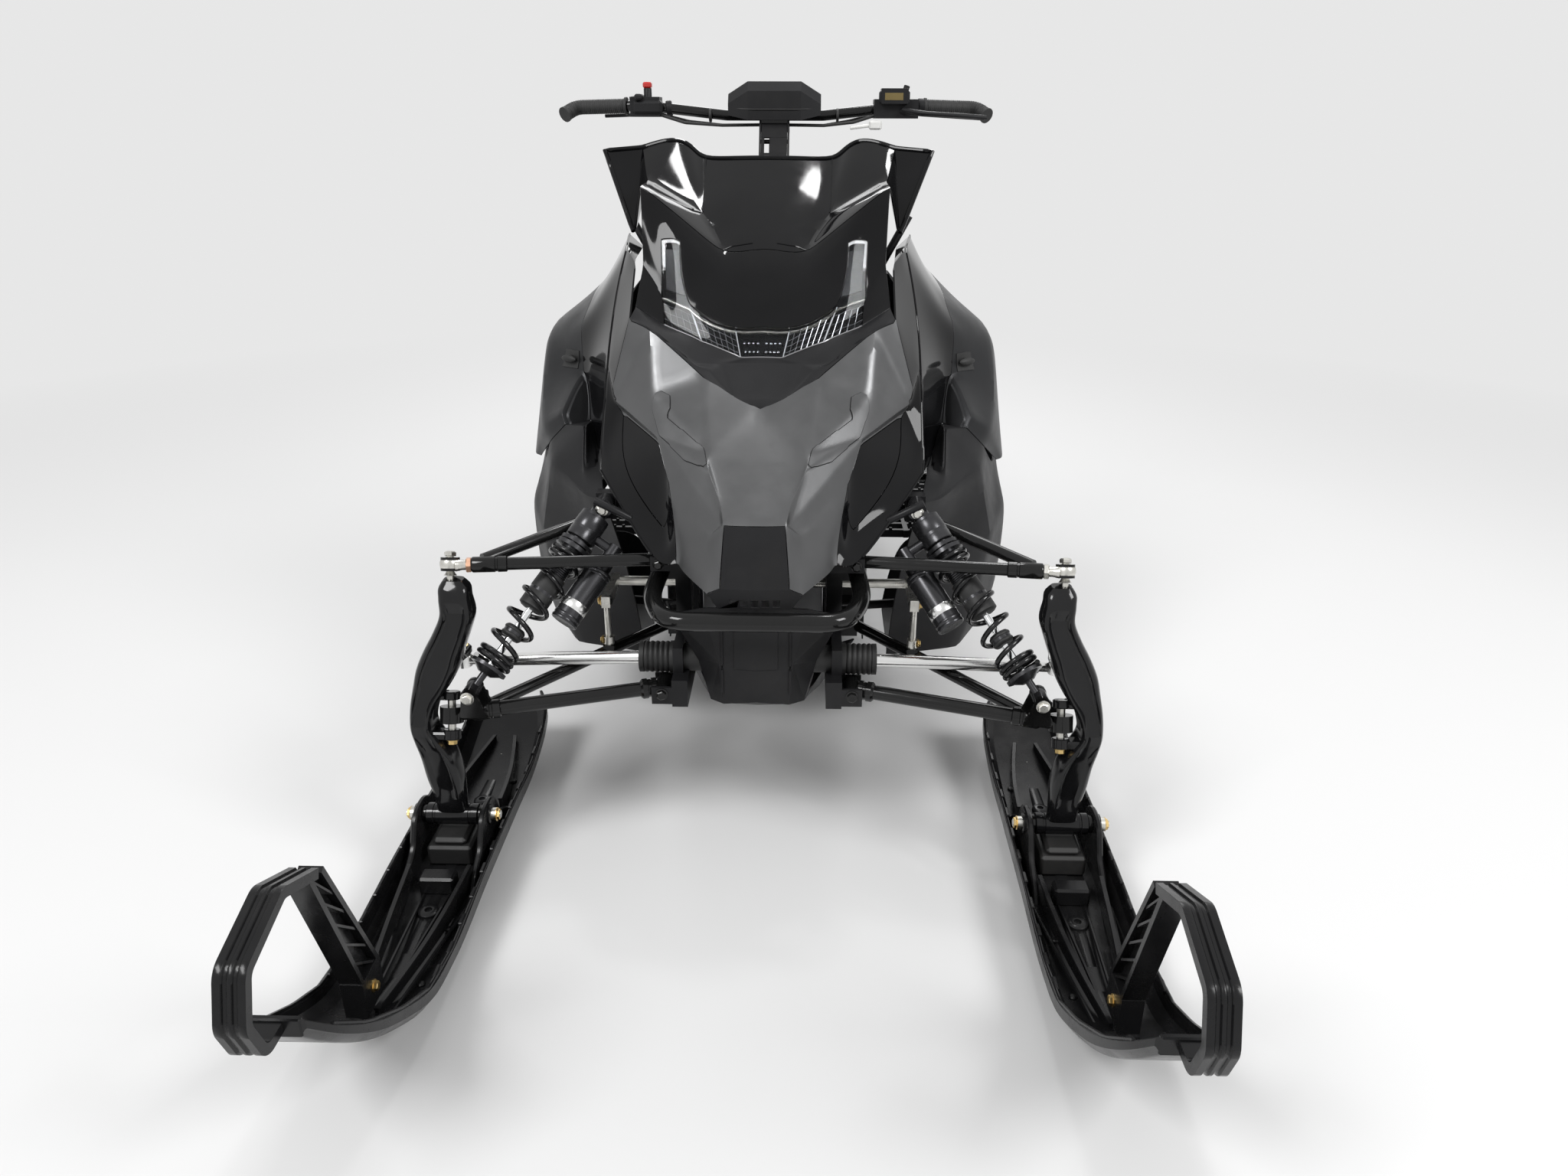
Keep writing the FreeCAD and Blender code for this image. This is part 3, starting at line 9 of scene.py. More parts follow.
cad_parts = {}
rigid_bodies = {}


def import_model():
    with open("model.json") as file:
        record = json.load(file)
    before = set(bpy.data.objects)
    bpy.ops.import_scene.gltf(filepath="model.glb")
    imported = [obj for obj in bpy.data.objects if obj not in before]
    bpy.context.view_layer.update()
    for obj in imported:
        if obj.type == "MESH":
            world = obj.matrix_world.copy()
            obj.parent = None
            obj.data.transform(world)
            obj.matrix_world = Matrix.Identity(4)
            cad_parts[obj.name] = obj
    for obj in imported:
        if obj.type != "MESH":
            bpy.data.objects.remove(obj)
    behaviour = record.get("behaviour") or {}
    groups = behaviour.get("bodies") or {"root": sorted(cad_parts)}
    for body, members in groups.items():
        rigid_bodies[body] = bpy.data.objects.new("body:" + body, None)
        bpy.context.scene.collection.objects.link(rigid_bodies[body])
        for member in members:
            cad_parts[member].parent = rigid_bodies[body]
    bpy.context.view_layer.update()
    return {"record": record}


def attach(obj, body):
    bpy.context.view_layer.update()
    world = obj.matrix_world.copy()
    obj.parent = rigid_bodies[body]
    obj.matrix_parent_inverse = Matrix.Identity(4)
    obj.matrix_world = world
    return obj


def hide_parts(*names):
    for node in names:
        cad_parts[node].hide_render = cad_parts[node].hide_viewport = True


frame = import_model()

# The photo's camera in the machine's frame: metres, degrees, and slopes of its sideways axis.
CAMERA_PLACE = (0.087, -2.45442, 1.257)
CAMERA_PITCH = 23.2
CAMERA_ROLL = 0.012
CAMERA_TURN = 0.0213
FOCAL_PIXELS = 1424.0
IMAGE_WIDTH = 2048.0
SENSOR = 36.0

FLOOR_HALF = 60.0
FLOOR_COLOUR = (0.72, 0.72, 0.72, 1)
SKY_COLOUR = (0.80, 0.80, 0.80, 1)
AMBIENT_COLOUR = (0.7, 0.7, 0.7, 1)
AMBIENT_STRENGTH = 0.6
DUST_COLOUR = (0.32, 0.30, 0.27, 1)
WORN_COLOUR = (0.3, 0.3, 0.3, 1)

# All sizes below are in millimetres with Y = 0 at the ski bolt, as in the part's source.
MM = 0.001
BOLT_Y = -0.83342
SIGNS = (-1, 1)
STANCE = 540.0
SKI_BOLT_Z = 115.0
KING_LOW = np.array((520.0, 0.0, 319.0))
KING_TOP = np.array((520.0, 84.0, 563.0))
SHOCK_LOW = np.array((480.0, -1.0, 366.0))
SHOCK_TOP = np.array((281.0, 240.0, 618.0))
RESERVOIR_SIDE = np.array((-50.0, -12.0, -32.0))
POST_TOP = (1090.0, 1262.0)
POST_TILT = math.radians(35.0)
GRIP_PITCH = 4.5
GRIP_RINGS = 120
TUNNEL_SIDE = 208.0
TUNNEL_TOP = 575.0
BOARD_TOP = 342.0
SEAT_BASE = 618.0
SEAT_FRONT = 1131.0
SEAT_REAR = 1826.0
BODY_MIDDLE = np.array((0.0, 620.0, 640.0))

# The body's skin: wall thickness, seam, and the fold angles that are smoothed or kept.
PANEL_WALL = 3.5
SEAM = 0.7
FOLD_SMOOTH = 12.0
FOLD_SHARP = 34.0
FOLD_CREASE = 0.72
CRISP = ("hood", "lamp_surround", "nose_plate")
FINE = 3
CORRECTIONS = 3
PANEL_SOFT = 26.0

# Seat cover: remesh size in metres, cloth pressure, its longest way, and the seams pressed in.
SEAT_GRAIN = 0.0065
SEAT_PUSH = 4.0
SEAT_REACH = 9.0
PRESS_STEPS = 20
SEAM_HALF = 4.5

# Body corners on the rider's left: name, X, Y, Z.
CORNER_ROWS = (
    # screen: top edge, rib foot, valley, front corner, ear foot, fold over the cowl
    "W0 0 722 1189, W1 127 730 1189, W2 181 740 1220, W3 250 705 1208, W4 321 680 1202, RF 123 580 1095, "
    "VA 230 620 1151, C1 232 520 1144, EF 257 580 1060, F0 0 490 1035, F1 77 490 1035, FM 155 505 1090, "
    # cowl fold, lens top line, lens arm, lens bottom line
    "K0 0 436 985, K1 78 436 985, T0 0 382 912, T1 48 380 912, AD 137 415 947, AA 156 470 1053, "
    "AB 190 480 1052, AC 188 440 962, B0 0 341 866, B1 38 340 866, B2 110 372 888, B3 181 405 912, "
    "SB 226 470 1010, "
    # lamp surround: plate under the lens, step, arms
    "N0 0 335 854, N1 71 335 854, VC0 0 290 806, VC 48 290 806, VN 93 318 847, SA 130 338 862, "
    "SO 232 400 945, "
    # hood: notch lip, creases, outer edge, nose band
    "VL0 0 280 787, VL 48 280 787, VM 103 310 836, CT 202 360 909, HT 241 380 929, D 276 368 808, "
    "E 270 358 785, CM 191 300 807, F 179 240 745, U 88 180 736, FL 83 140 714, BT0 0 135 707, "
    "BT 66 135 707, BM 59 85 677, G 61 70 648, PT0 0 46 650, PT 50 50 650, "
    # cheek beside the nose and the grey edge round the plate
    "H 78 70 624, I 155 183 679, CB 114 90 591, CC 124 84 553, J 137 100 562, K 80 35 534, PB 58 30 546, "
    "PB0 0 26 546, PG 62 32 508, PG0 0 28 508, "
    # intake window
    "N 256 345 757, WF 173 235 730, O 163 165 604, P 233 240 663, "
    # gloss side: bright edge, then its back border
    "ST 240 470 1015, SU 262 740 1015, BE0 290 740 1040, BEB 300 900 1002, BE1 269 550 1025, "
    "BE2 294 420 831, BE3 296 300 665, BE4 181 122 568, G2 352 900 948, GA 357 680 933, GB 374 600 875, "
    "GC 372 580 789, GD 353 520 702, GE 317 420 640, "
    # matt flank: outer shell and arch lip
    "S1 420 910 880, S2 455 720 858, S3 484 760 790, S4 470 640 760, S5 480 930 705, S6 500 780 640, "
    "SL 498 630 606, A1 406 505 722, A2 455 545 690, L1 398 492 700, L2 440 520 655, L3 482 610 600, "
    # fender and lower body
    "FA 353 447 706, FD 350 402 636, FB 341 362 597, FC 296 320 600, AM 421 455 630, M1 480 640 590, "
    "M2 500 790 630, M3 478 930 690, Q1 462 500 480, Q2 508 620 500, Q3 506 780 500, Q4 475 905 520, "
    "R0 268 380 420, R1 440 510 320, R2 504 620 340, R3 500 780 350, R4 470 870 385, Y0 255 450 218, "
    "Y1 412 520 206, Y2 472 600 240, Y3 470 760 250, Y4 440 850 335, X0 262 560 190, X1 400 600 186, "
    "X2 400 740 200, X3 320 850 325, X4 262 740 205"
)
CORNERS = {name: tuple(map(float, at)) for name, *at in map(str.split, CORNER_ROWS.split(","))}
# Faces of each panel by corner, the rider's left half.
PANELS = {
    "windshield":
        "W0 W1 RF, W0 RF F1 F0, W1 W2 RF, W2 W3 VA, W2 VA RF, RF VA C1, RF C1 FM, RF FM F1, W3 W4 EF, "
        "W3 EF VA, VA EF C1",
    "cowl":
        "F0 F1 K1 K0, K0 K1 T1 T0, F1 FM AA K1, K1 AA AD, K1 AD T1, FM C1 AB AA, C1 SB AC AB, AC SB SO B3",
    "headlight":
        "T0 T1 B1 B0, T1 AD B2 B1, AD AC B3 B2, AD AA AB AC",
    "lamp_surround":
        "VL0 VL VC VC0, VL VM VN VC, VC0 VC N1 N0, VC VN N1, N0 N1 B1 B0, N1 VN SA, N1 SA B2 B1, "
        "SA SO B3 B2, VN VM CT SA, SA CT HT SO",
    "hood":
        "VL0 VL VM, VL0 VM U, VL0 U BT BT0, VM CT CM, VM CM U, CM F U, U F FL, F G FL, U FL BT, FL G BM, "
        "FL BM BT, HT E CT, HT D E, CT E CM, CM E F, E N WF F, F WF I, F I G, BT0 BT BM PT, BT0 PT PT0, "
        "BM G PT, G H PT, I H G, I CB H, I J CB, CB K H, CB CC K, CB J CC, H K PB PT",
    "nose_plate":
        "PT0 PT PB PB0, PB0 PB PG PG0, PB K PG",
    "intake":
        "N P WF, WF P O I",
    "side_panels":
        "ST HT BE2 BE1, HT D BE2, D E BE2, E N BE3 BE2, N P BE3, P O BE4 BE3, O I J BE4, BE0 BE1 GB GA, "
        "BE1 BE2 GC GB, BE2 GD GC, BE2 BE3 GE GD, BEB BE0 GA G2, ST BE1 BE0 SU",
    "flank_panels":
        "G2 GA S2 S1, GA GB S2, GB GC S4 S2, GC GD A1, GC A1 A2 S4, S1 S2 S3 S5, S2 S4 S3, S3 S4 SL S6, "
        "S4 A2 SL, S5 S3 S6, GD L1 A1, A1 L1 L2 A2, A2 L2 L3 SL",
    "lower_panels":
        "GD GE FD FA, GE FC FB FD, GD FA L1, FA AM L2 L1, FA FD AM, FD FB AM, AM Q1 M1 L2, M1 Q2 Q3 M2, "
        "Q1 Q2 M1, M2 Q3 Q4 M3, FB FC R0, FB R0 Q1 AM, Q1 R0 R1, Q1 R1 R2 Q2, Q2 R2 R3 Q3, Q3 R3 R4 Q4, "
        "R0 Y0 Y1 R1, R1 Y1 Y2 R2, R2 Y2 Y3 R3, R3 Y3 Y4 R4, Y0 X0 X1 Y1, Y1 X1 X2 Y2, Y2 X2 Y3, "
        "Y3 X2 X3 Y4, X0 X4 X2 X1, X4 X3 X2",
}


def add(name, data):
    """New object with its data, in the scene."""
    obj = bpy.data.objects.new(name, data)
    bpy.context.collection.objects.link(obj)
    return obj


def camera():
    """Camera with a view pitched down, and its sideways axis tilted by roll and turn."""
    pitch = math.radians(CAMERA_PITCH)
    across = unit((1.0, CAMERA_ROLL, -CAMERA_TURN))
    down = np.array((0.0, math.cos(pitch), math.sin(pitch)))
    down = unit(down - across * (down @ across))
    axes = np.stack([across, np.cross(across, down), -down]) * (1, -1, -1)
    data = bpy.data.cameras.new("camera")
    data.sensor_width = SENSOR
    data.lens = FOCAL_PIXELS / IMAGE_WIDTH * SENSOR
    obj = add("camera", data)
    obj.matrix_world = Matrix.Translation(CAMERA_PLACE) @ Matrix(axes.tolist()).to_4x4()
    bpy.context.scene.camera = obj


# Shader helpers. Sockets go by name or number, with a plain value or another node's output.


def feed(tree, made, sockets):
    for key, value in sockets.items():
        if isinstance(value, bpy.types.NodeSocket):
            tree.links.new(value, made.inputs[key])
        else:
            made.inputs[key].default_value = value


def output(tree, kind, sockets=None, out=0, **settings):
    """One output of a new shader node."""
    made = tree.nodes.new("ShaderNode" + kind)
    for key, value in settings.items():
        setattr(made, key, value)
    feed(tree, made, sockets or {})
    return made.outputs[out]


def noise(tree, coords, scale, detail=3.0, rough=0.5):
    return output(tree, "TexNoise", {"Vector": coords, "Scale": scale, "Detail": detail, "Roughness": rough}, "Fac")


def spread(tree, fac, low, high, start=0.3, end=0.7):
    """Value from start to end stretched over low to high."""
    return output(tree, "MapRange", {"Value": fac, "From Min": start, "From Max": end,
                                     "To Min": low, "To Max": high}, "Result")


def tint(tree, fac, a, b):
    """Colour a turned into colour b by the factor."""
    return output(tree, "Mix", {0: fac, 6: a, 7: b}, 2, data_type="RGBA")


def blend_shaders(tree, fac, a, b, end):
    """Surface of the tree's last node: shader a turned into shader b by the factor."""
    feed(tree, tree.nodes[end], {"Surface": output(tree, "MixShader", {0: fac, 1: a, 2: b})})


def seen_by(tree, *kinds):
    """One for rays of the named kinds, else nothing."""
    rays = [output(tree, "LightPath", out=f"Is {kind} Ray") for kind in kinds]
    found = rays[0]
    for ray in rays[1:]:
        found = output(tree, "Math", {0: found, 1: ray}, operation="MAXIMUM")
    return found


FINISHES = {}


def finish(name, colour, rough, metal=0.0, tone=0.25, tone_scale=7.0, grain=None, waves=None, rough_spread=0.05,
           dust=0.0, wear=0.0, stretch=None, ior=1.5, coat=0.0, sheen=0.0, through=0.0):
    """Finish from broad tone noise, a slow wave and fine grain, each a depth in mm and a scale and both as
    bump, pale dust in the broad hollows of the noise, and worn corners where the surface turns sharply."""
    mat = bpy.data.materials.new(name)
    mat.use_nodes = True
    tree = mat.node_tree
    coords = output(tree, "TexCoord", out="Object")
    if stretch:
        coords = output(tree, "Mapping", {"Vector": coords, "Scale": stretch})
    dark = [c * (1 - tone) for c in colour]
    light = [min(c * (1 + tone) + 0.002, 1.0) for c in colour]
    base = tint(tree, spread(tree, noise(tree, coords, tone_scale, 4.0), 0.0, 1.0), (*dark, 1), (*light, 1))
    if dust:
        film = noise(tree, coords, 3.0, 8.0, 0.65)
        base = tint(tree, spread(tree, film, 0.0, dust, 0.5, 0.8), base, DUST_COLOUR)
    if wear:
        edge = output(tree, "NewGeometry", out="Pointiness")
        base = tint(tree, spread(tree, edge, 0.0, wear, 0.53, 0.60), base, WORN_COLOUR)
    smudge = noise(tree, coords, 24.0, 5.0, 0.6)
    sockets = {"Base Color": base, "Metallic": metal, "IOR": ior, "Coat Weight": coat, "Coat Roughness": 0.04,
               "Sheen Weight": sheen, "Transmission Weight": through,
               "Roughness": spread(tree, smudge, max(rough - rough_spread, 0.02), rough + rough_spread)}
    for depth, scale in filter(None, (waves, grain)):
        bump = {"Strength": 1.0, "Distance": depth * MM, "Height": noise(tree, coords, scale, 2.0)}
        if "Normal" in sockets:
            bump["Normal"] = sockets["Normal"]
        sockets["Normal"] = output(tree, "Bump", bump)
    feed(tree, tree.nodes["Principled BSDF"], sockets)
    FINISHES[name] = mat


def finishes():
    finish("gloss_black_body", (0.003, 0.003, 0.0035), 0.06, tone=0.15, waves=(0.05, 7), rough_spread=0.02, ior=1.3)
    finish("charcoal_body", (0.115, 0.116, 0.118), 0.33, metal=0.8, tone=0.1, grain=(0.02, 2200))
    finish("dark_plastic", (0.012, 0.012, 0.013), 0.46, tone=0.18, grain=(0.12, 900), dust=0.03, ior=1.28)
    finish("dark_charcoal", (0.030, 0.0305, 0.032), 0.38, metal=0.7, tone=0.1, grain=(0.02, 2200), ior=1.3)
    finish("ski_plastic", (0.007, 0.007, 0.0075), 0.24, tone=0.2, grain=(0.03, 500), waves=(0.15, 25),
           rough_spread=0.08, dust=0.03, ior=1.33)
    finish("black_tube", (0.005, 0.005, 0.005), 0.11, tone=0.2, waves=(0.03, 60), rough_spread=0.04, ior=1.4)
    finish("black_forging", (0.005, 0.005, 0.0055), 0.11, tone=0.2, waves=(0.2, 45), ior=1.4)
    finish("frame_paint", (0.010, 0.010, 0.011), 0.36, tone=0.2, grain=(0.03, 600), dust=0.04, rough_spread=0.07,
           ior=1.3)
    finish("steel", (0.62, 0.61, 0.57), 0.30, metal=1, tone=0.12, tone_scale=60, grain=(0.02, 700), rough_spread=0.1)
    finish("bright_alloy", (0.80, 0.80, 0.79), 0.22, metal=1, tone=0.06, tone_scale=40, grain=(0.012, 1800),
           stretch=(0.05, 1, 1), rough_spread=0.08)
    finish("damper_grey", (0.045, 0.045, 0.048), 0.26, metal=0.75, tone=0.1, tone_scale=30, grain=(0.01, 1500))
    finish("spring_black", (0.006, 0.006, 0.0065), 0.17, tone=0.2, grain=(0.02, 500), ior=1.42)
    finish("rubber", (0.008, 0.008, 0.008), 0.58, tone=0.2, grain=(0.05, 700), dust=0.06)
    finish("track_rubber", (0.017, 0.017, 0.017), 0.68, grain=(0.1, 450), dust=0.14, rough_spread=0.1)
    finish("cast_alloy", (0.32, 0.32, 0.33), 0.48, metal=0.9, tone=0.15, grain=(0.15, 350))
    finish("rail_alloy", (0.045, 0.045, 0.048), 0.34, metal=0.8, tone=0.15, grain=(0.02, 900), wear=0.3,
           rough_spread=0.08)
    finish("wheel_plastic", (0.020, 0.020, 0.020), 0.45, tone=0.2, grain=(0.05, 700), dust=0.06)
    finish("seat_cover", (0.018, 0.018, 0.019), 0.55, tone=0.2, grain=(0.22, 620), waves=(0.8, 22),
           rough_spread=0.08, sheen=0.15)
    finish("gold_zinc", (0.72, 0.52, 0.22), 0.30, metal=1, tone=0.2, tone_scale=90, grain=(0.01, 900))
    finish("copper_nut", (0.74, 0.44, 0.30), 0.32, metal=1, tone=0.15, tone_scale=90)
    finish("orange_band", (0.62, 0.13, 0.02), 0.35, tone=0.1, coat=0.3)
    finish("kill_red", (0.45, 0.02, 0.015), 0.32, tone=0.12, grain=(0.02, 900), coat=0.2)
    finish("amber_window", (0.16, 0.12, 0.045), 0.16, tone=0.15, ior=1.35)
    finish("white_clip", (0.75, 0.75, 0.73), 0.40, tone=0.05)
    finish("reflector", (0.86, 0.87, 0.88), 0.10, metal=1, tone=0.05, rough_spread=0.04)
    finish("dark_cells", (0.006, 0.006, 0.007), 0.55, tone=0.1, ior=1.1)
    finish("smoked_guide", (0.020, 0.020, 0.022), 0.30, tone=0.1, rough_spread=0.04, ior=1.22)
    finish("guide_bar", (0.15, 0.145, 0.13), 0.25, metal=0.7, tone=0.5, tone_scale=150, rough_spread=0.1)
    finish("dark_chrome", (0.30, 0.30, 0.31), 0.12, metal=1, tone=0.05)
    finish("grip_rubber", (0.015, 0.015, 0.015), 0.66, tone=0.15, grain=(0.08, 800))
    finish("dash_glass", (0.010, 0.012, 0.014), 0.06, tone=0.1, rough_spread=0.02, coat=1)
    finish("slider_plastic", (0.030, 0.030, 0.030), 0.34, tone=0.2, grain=(0.03, 900))
    lens = {"tone": 0.02, "waves": (0.02, 60), "rough_spread": 0.01, "ior": 1.2}
    finish("clear_lens", (0.92, 0.94, 0.96), 0.02, through=1.0, **lens)
    finish("red_lens", (0.50, 0.012, 0.010), 0.08, through=0.95, **lens)


# Mesh helpers. A shape is a pair: an array of corners in millimetres and a list of faces.


def place(points):
    """Millimetres from the ski bolt's plane to metres in the machine's frame."""
    return np.asarray(points, float) * MM + (0.0, BOLT_Y, 0.0)


def unit(v):
    v = np.asarray(v, float)
    return v / np.linalg.norm(v, axis=-1, keepdims=True)


def strip(rows, cols, closed=False):
    """Quads of a grid of corners, whose last column may join the first."""
    i, j = np.meshgrid(np.arange(rows - 1), np.arange(cols if closed else cols - 1), indexing="ij")
    a = i * cols + j
    b = i * cols + (j + 1) % cols
    return np.stack([a, b, b + cols, a + cols], -1).reshape(-1, 4).tolist()


def capped(rings):
    """Closed rings of equal length joined along the way, with flat ends."""
    n, m = rings.shape[:2]
    faces = strip(n, m, True) + [list(range(m)), list(range(n * m - 1, n * m - m - 1, -1))]
    return rings.reshape(-1, 3), faces


def rings(x, y, z):
    """Closed shape through a grid of places, each row of the grid one ring."""
    return capped(np.stack(np.broadcast_arrays(x, y, z), -1))


def loft(y, half, centre=0.0, shared=0):
    """Half outline of (x, z) columns and its mirror image about the centre, carried along y. Shared is how
    many points at each end lie on the centre, so that the image leaves them out."""
    image = half[::-1][shared:len(half) - shared]
    outline = [(centre + x, z) for x, z in half] + [(centre - x, z) for x, z in image]
    return capped(np.stack([np.stack(np.broadcast_arrays(x, y, z), -1) for x, z in outline], 1))


def merge(*shapes):
    """Shapes put together, each one's face numbers moved on by the corners before it."""
    starts = np.cumsum([0] + [len(v) for v, _ in shapes]).tolist()
    faces = [[q + start for q in face] for (_, rows), start in zip(shapes, starts) for face in rows]
    return np.concatenate([v for v, _ in shapes]), faces


def other(shape):
    """Shape turned over the centre plane."""
    v, f = shape
    return v * (-1, 1, 1), [face[::-1] for face in f]


def both(*shapes):
    """Shapes with their twins over the centre plane."""
    return merge(*shapes, *map(other, shapes))


def lengths(points):
    """Distance along a path at each of its points."""
    return np.concatenate([[0], np.cumsum(np.linalg.norm(np.diff(points, axis=0), axis=1))])


def even(points, step=6.0, count=None):
    """Path resampled at an even step, or at a count of places."""
    p = np.asarray(points, float)
    far = lengths(p)
    at = np.linspace(0, far[-1], count or int(far[-1] / step) + 2)
    return np.stack([np.interp(at, far, p[:, k]) for k in range(3)], -1)


def eased(rows, count):
    """Table of rows interpolated along its first column by cubics whose slopes are the local ones."""
    r = np.asarray(rows, float)
    r = r[np.argsort(r[:, 0])]
    slope = np.gradient(r, r[:, 0], axis=0)
    u = np.linspace(r[0, 0], r[-1, 0], count)
    i = np.clip(np.searchsorted(r[:, 0], u) - 1, 0, len(r) - 2)
    d = (r[i + 1, 0] - r[i, 0])[:, None]
    t = (u - r[i, 0])[:, None] / d
    return (r[i] * (2 * t ** 3 - 3 * t ** 2 + 1) + slope[i] * d * (t ** 3 - 2 * t ** 2 + t)
            + r[i + 1] * (3 * t ** 2 - 2 * t ** 3) + slope[i + 1] * d * (t ** 3 - t ** 2))


def rounded(points, cut, steps=4):
    """Path whose inner corners are replaced by parabolas that start and end a cut away from them."""
    p = np.asarray(points, float)
    k = np.linspace(0, 1, steps + 1)[:, None]
    out = [p[:1]]
    for a, b, c in zip(p, p[1:], p[2:]):
        s, e = (b + unit(q - b) * min(cut, np.linalg.norm(q - b) * 0.45) for q in (a, c))
        out.append(s * (1 - k) ** 2 + b * 2 * k * (1 - k) + e * k ** 2)
    return np.concatenate([*out, p[-1:]])


def disc(r, sides=12, flat=1.0):
    """Outline of a circle, or of an ellipse whose height is flat times its width."""
    a = np.arange(sides) * 2 * np.pi / sides
    return np.stack([r * np.cos(a), r * flat * np.sin(a)], -1)


def sweep(path, section, up=(0, 0, 1), grow=1.0):
    """Closed outline carried along a path. Its first axis is direction x up, its second is square
    to both, and grow scales it at each point of the path."""
    p = np.asarray(path, float)
    t = unit(np.gradient(p, axis=0))
    s = unit(np.cross(t, up))
    u = np.cross(s, t)
    k = np.broadcast_to(grow, (len(p),))[:, None, None]
    return capped(p[:, None] + s[:, None] * section[:, :1] * k + u[:, None] * section[:, 1:] * k)


def turned(profile, foot, way, sides=20):
    """Profile of (distance along the way, radius) turned about it, with flat ends."""
    far, r = np.asarray(profile, float).T[..., None, None]
    t = unit(way)
    s = unit(np.cross(t, (0.31, 0.12, 0.94)))
    a = np.arange(sides)[:, None] * 2 * np.pi / sides
    return capped(np.asarray(foot, float) + t * far + (s * np.cos(a) + np.cross(s, t) * np.sin(a)) * r)


def on_line(low, top, rows, sides):
    """Turned profile whose distances are shares of the line from low to top."""
    rows = np.asarray(rows, float) * (np.linalg.norm(top - low), 1)
    return turned(rows, low, top - low, sides)


def ringed(start, end, r, ridge, count):
    """Profile of even round ridges between two places."""
    a = np.linspace(0, 1, count * 6 + 1)
    return np.stack([start + (end - start) * a, r + ridge * np.abs(np.sin(a * count * np.pi))], -1)


def block(x0, x1, y0, y1, z0, z1, e=1.5):
    """Block with chamfered edges: an eight sided ring at four heights, drawn in at the ends."""
    return capped(np.array([[(x0 + e, y0 + c, z), (x1 - e, y0 + c, z), (x1 - c, y0 + e, z), (x1 - c, y1 - e, z),
                             (x1 - e, y1 - c, z), (x0 + e, y1 - c, z), (x0 + c, y1 - e, z), (x0 + c, y0 + e, z)]
                            for z, c in ((z0, e), (z0 + e, 0), (z1 - e, 0), (z1, e))], float))


def prism(outline, low, high, axis, edge=1.5):
    """Flat outline given thickness along one axis (0 is X, 2 is Z), its edges drawn in at both faces."""
    p = np.asarray(outline, float)
    a = unit(np.roll(p, 1, 0) - p)
    b = unit(np.roll(p, -1, 0) - p)
    cross = a[:, 0] * b[:, 1] - a[:, 1] * b[:, 0]
    area = np.sum(p[:, 0] * np.roll(p[:, 1], -1) - np.roll(p[:, 0], -1) * p[:, 1])
    way = unit(a + b + 1e-7) * np.sign(-cross * area + 1e-9)[:, None]
    return capped(np.array([np.insert(p + way * drawn, axis, at, 1) for at, drawn in
                            ((low, edge), (low + edge, 0.0), (high - edge, 0.0), (high, edge))]))


def tray(grid, depth, into):
    """Shallow closed box whose front is the grid and whose back lies deeper."""
    n, m = grid.shape[:2]
    front = grid.reshape(-1, 3)
    faces = strip(n, m)
    under = [[q + n * m for q in f[::-1]] for f in faces]
    number = np.arange(n * m).reshape(n, m)
    rim = np.concatenate([number[0], number[1:, -1], number[-1, -2::-1], number[-2:0:-1, 0]])
    nxt = np.roll(rim, -1)
    sides = np.stack([rim, nxt, nxt + n * m, rim + n * m], -1).tolist()
    return np.concatenate([front, front + into * depth]), faces + under + sides


def hexagon_bolt(at, way, r=7.0, high=6.0, washer=1.5):
    """Bolt head on a washer: a turned disc, and a six sided prism with a chamfered crown."""
    ring = turned([(-1, r * 1.1), (0, r * 1.45), (washer, r * 1.45), (washer + 0.4, r * 1.2)], at, way, 18)
    head = turned([(washer, r * 1.12), (washer + high - 1.2, r * 1.12), (washer + high, r * 0.9)], at, way, 6)
    return merge(ring, head)


def cap_bolt(at, way, r=6.0, high=4.0):
    """Low round head with a six sided socket: a domed profile whose middle drops in."""
    return turned([(-1, r), (high * 0.5, r), (high * 0.85, r * 0.85), (high, r * 0.6), (high, r * 0.42),
                   (high * 0.35, r * 0.40)], at, way, 12)


def read(rows, name, wide=1, kind=float):
    """One attribute of a mesh's rows as an array, several numbers a row if wide."""
    out = np.zeros(len(rows) * wide, kind)
    rows.foreach_get(name, out)
    return out.reshape(-1, wide) if wide > 1 else out


def outwards(mesh, weld=0.0):
    """Face normals turned outwards, after corners nearer than the weld are joined."""
    work = bmesh.new()
    work.from_mesh(mesh)
    if weld:
        bmesh.ops.remove_doubles(work, verts=work.verts, dist=weld)
    bmesh.ops.recalc_face_normals(work, faces=work.faces)
    work.to_mesh(mesh)
    work.free()


def piece(name, shape, material, slot=None, body="chassis", soft=35.0, bevel=0.0, instead=None):
    """Object from a shape in millimetres, with its normals outwards and edges over soft degrees sharp. Its
    slot argument is not used, and it may stand instead of a CAD node."""
    mesh = bpy.data.meshes.new(name)
    mesh.from_pydata(place(shape[0]).tolist(), [], shape[1])
    outwards(mesh, 1e-6)
    mesh.polygons.foreach_set("use_smooth", np.ones(len(mesh.polygons), bool))
    mesh.set_sharp_from_angle(angle=math.radians(soft))
    mesh.materials.append(FINISHES[material])
    obj = add(name, mesh)
    if bevel:
        soften(obj, bevel)
    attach(obj, body)
    if instead:
        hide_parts(instead)
    return obj


def sided(body, *rows):
    """Pieces on the left body, then their twins over the centre plane on the right one. A row has a name,
    a shape, a finish, a slot and the other settings of its piece."""
    for side in ("_left", "_right"):
        for name, shape, material, slot, more in rows:
            stands = {"instead": more["instead"] + side} if "instead" in more else {}
            made = shape if side == "_left" else other(shape)
            piece(name + side, made, material, slot, body + side, **more | stands)


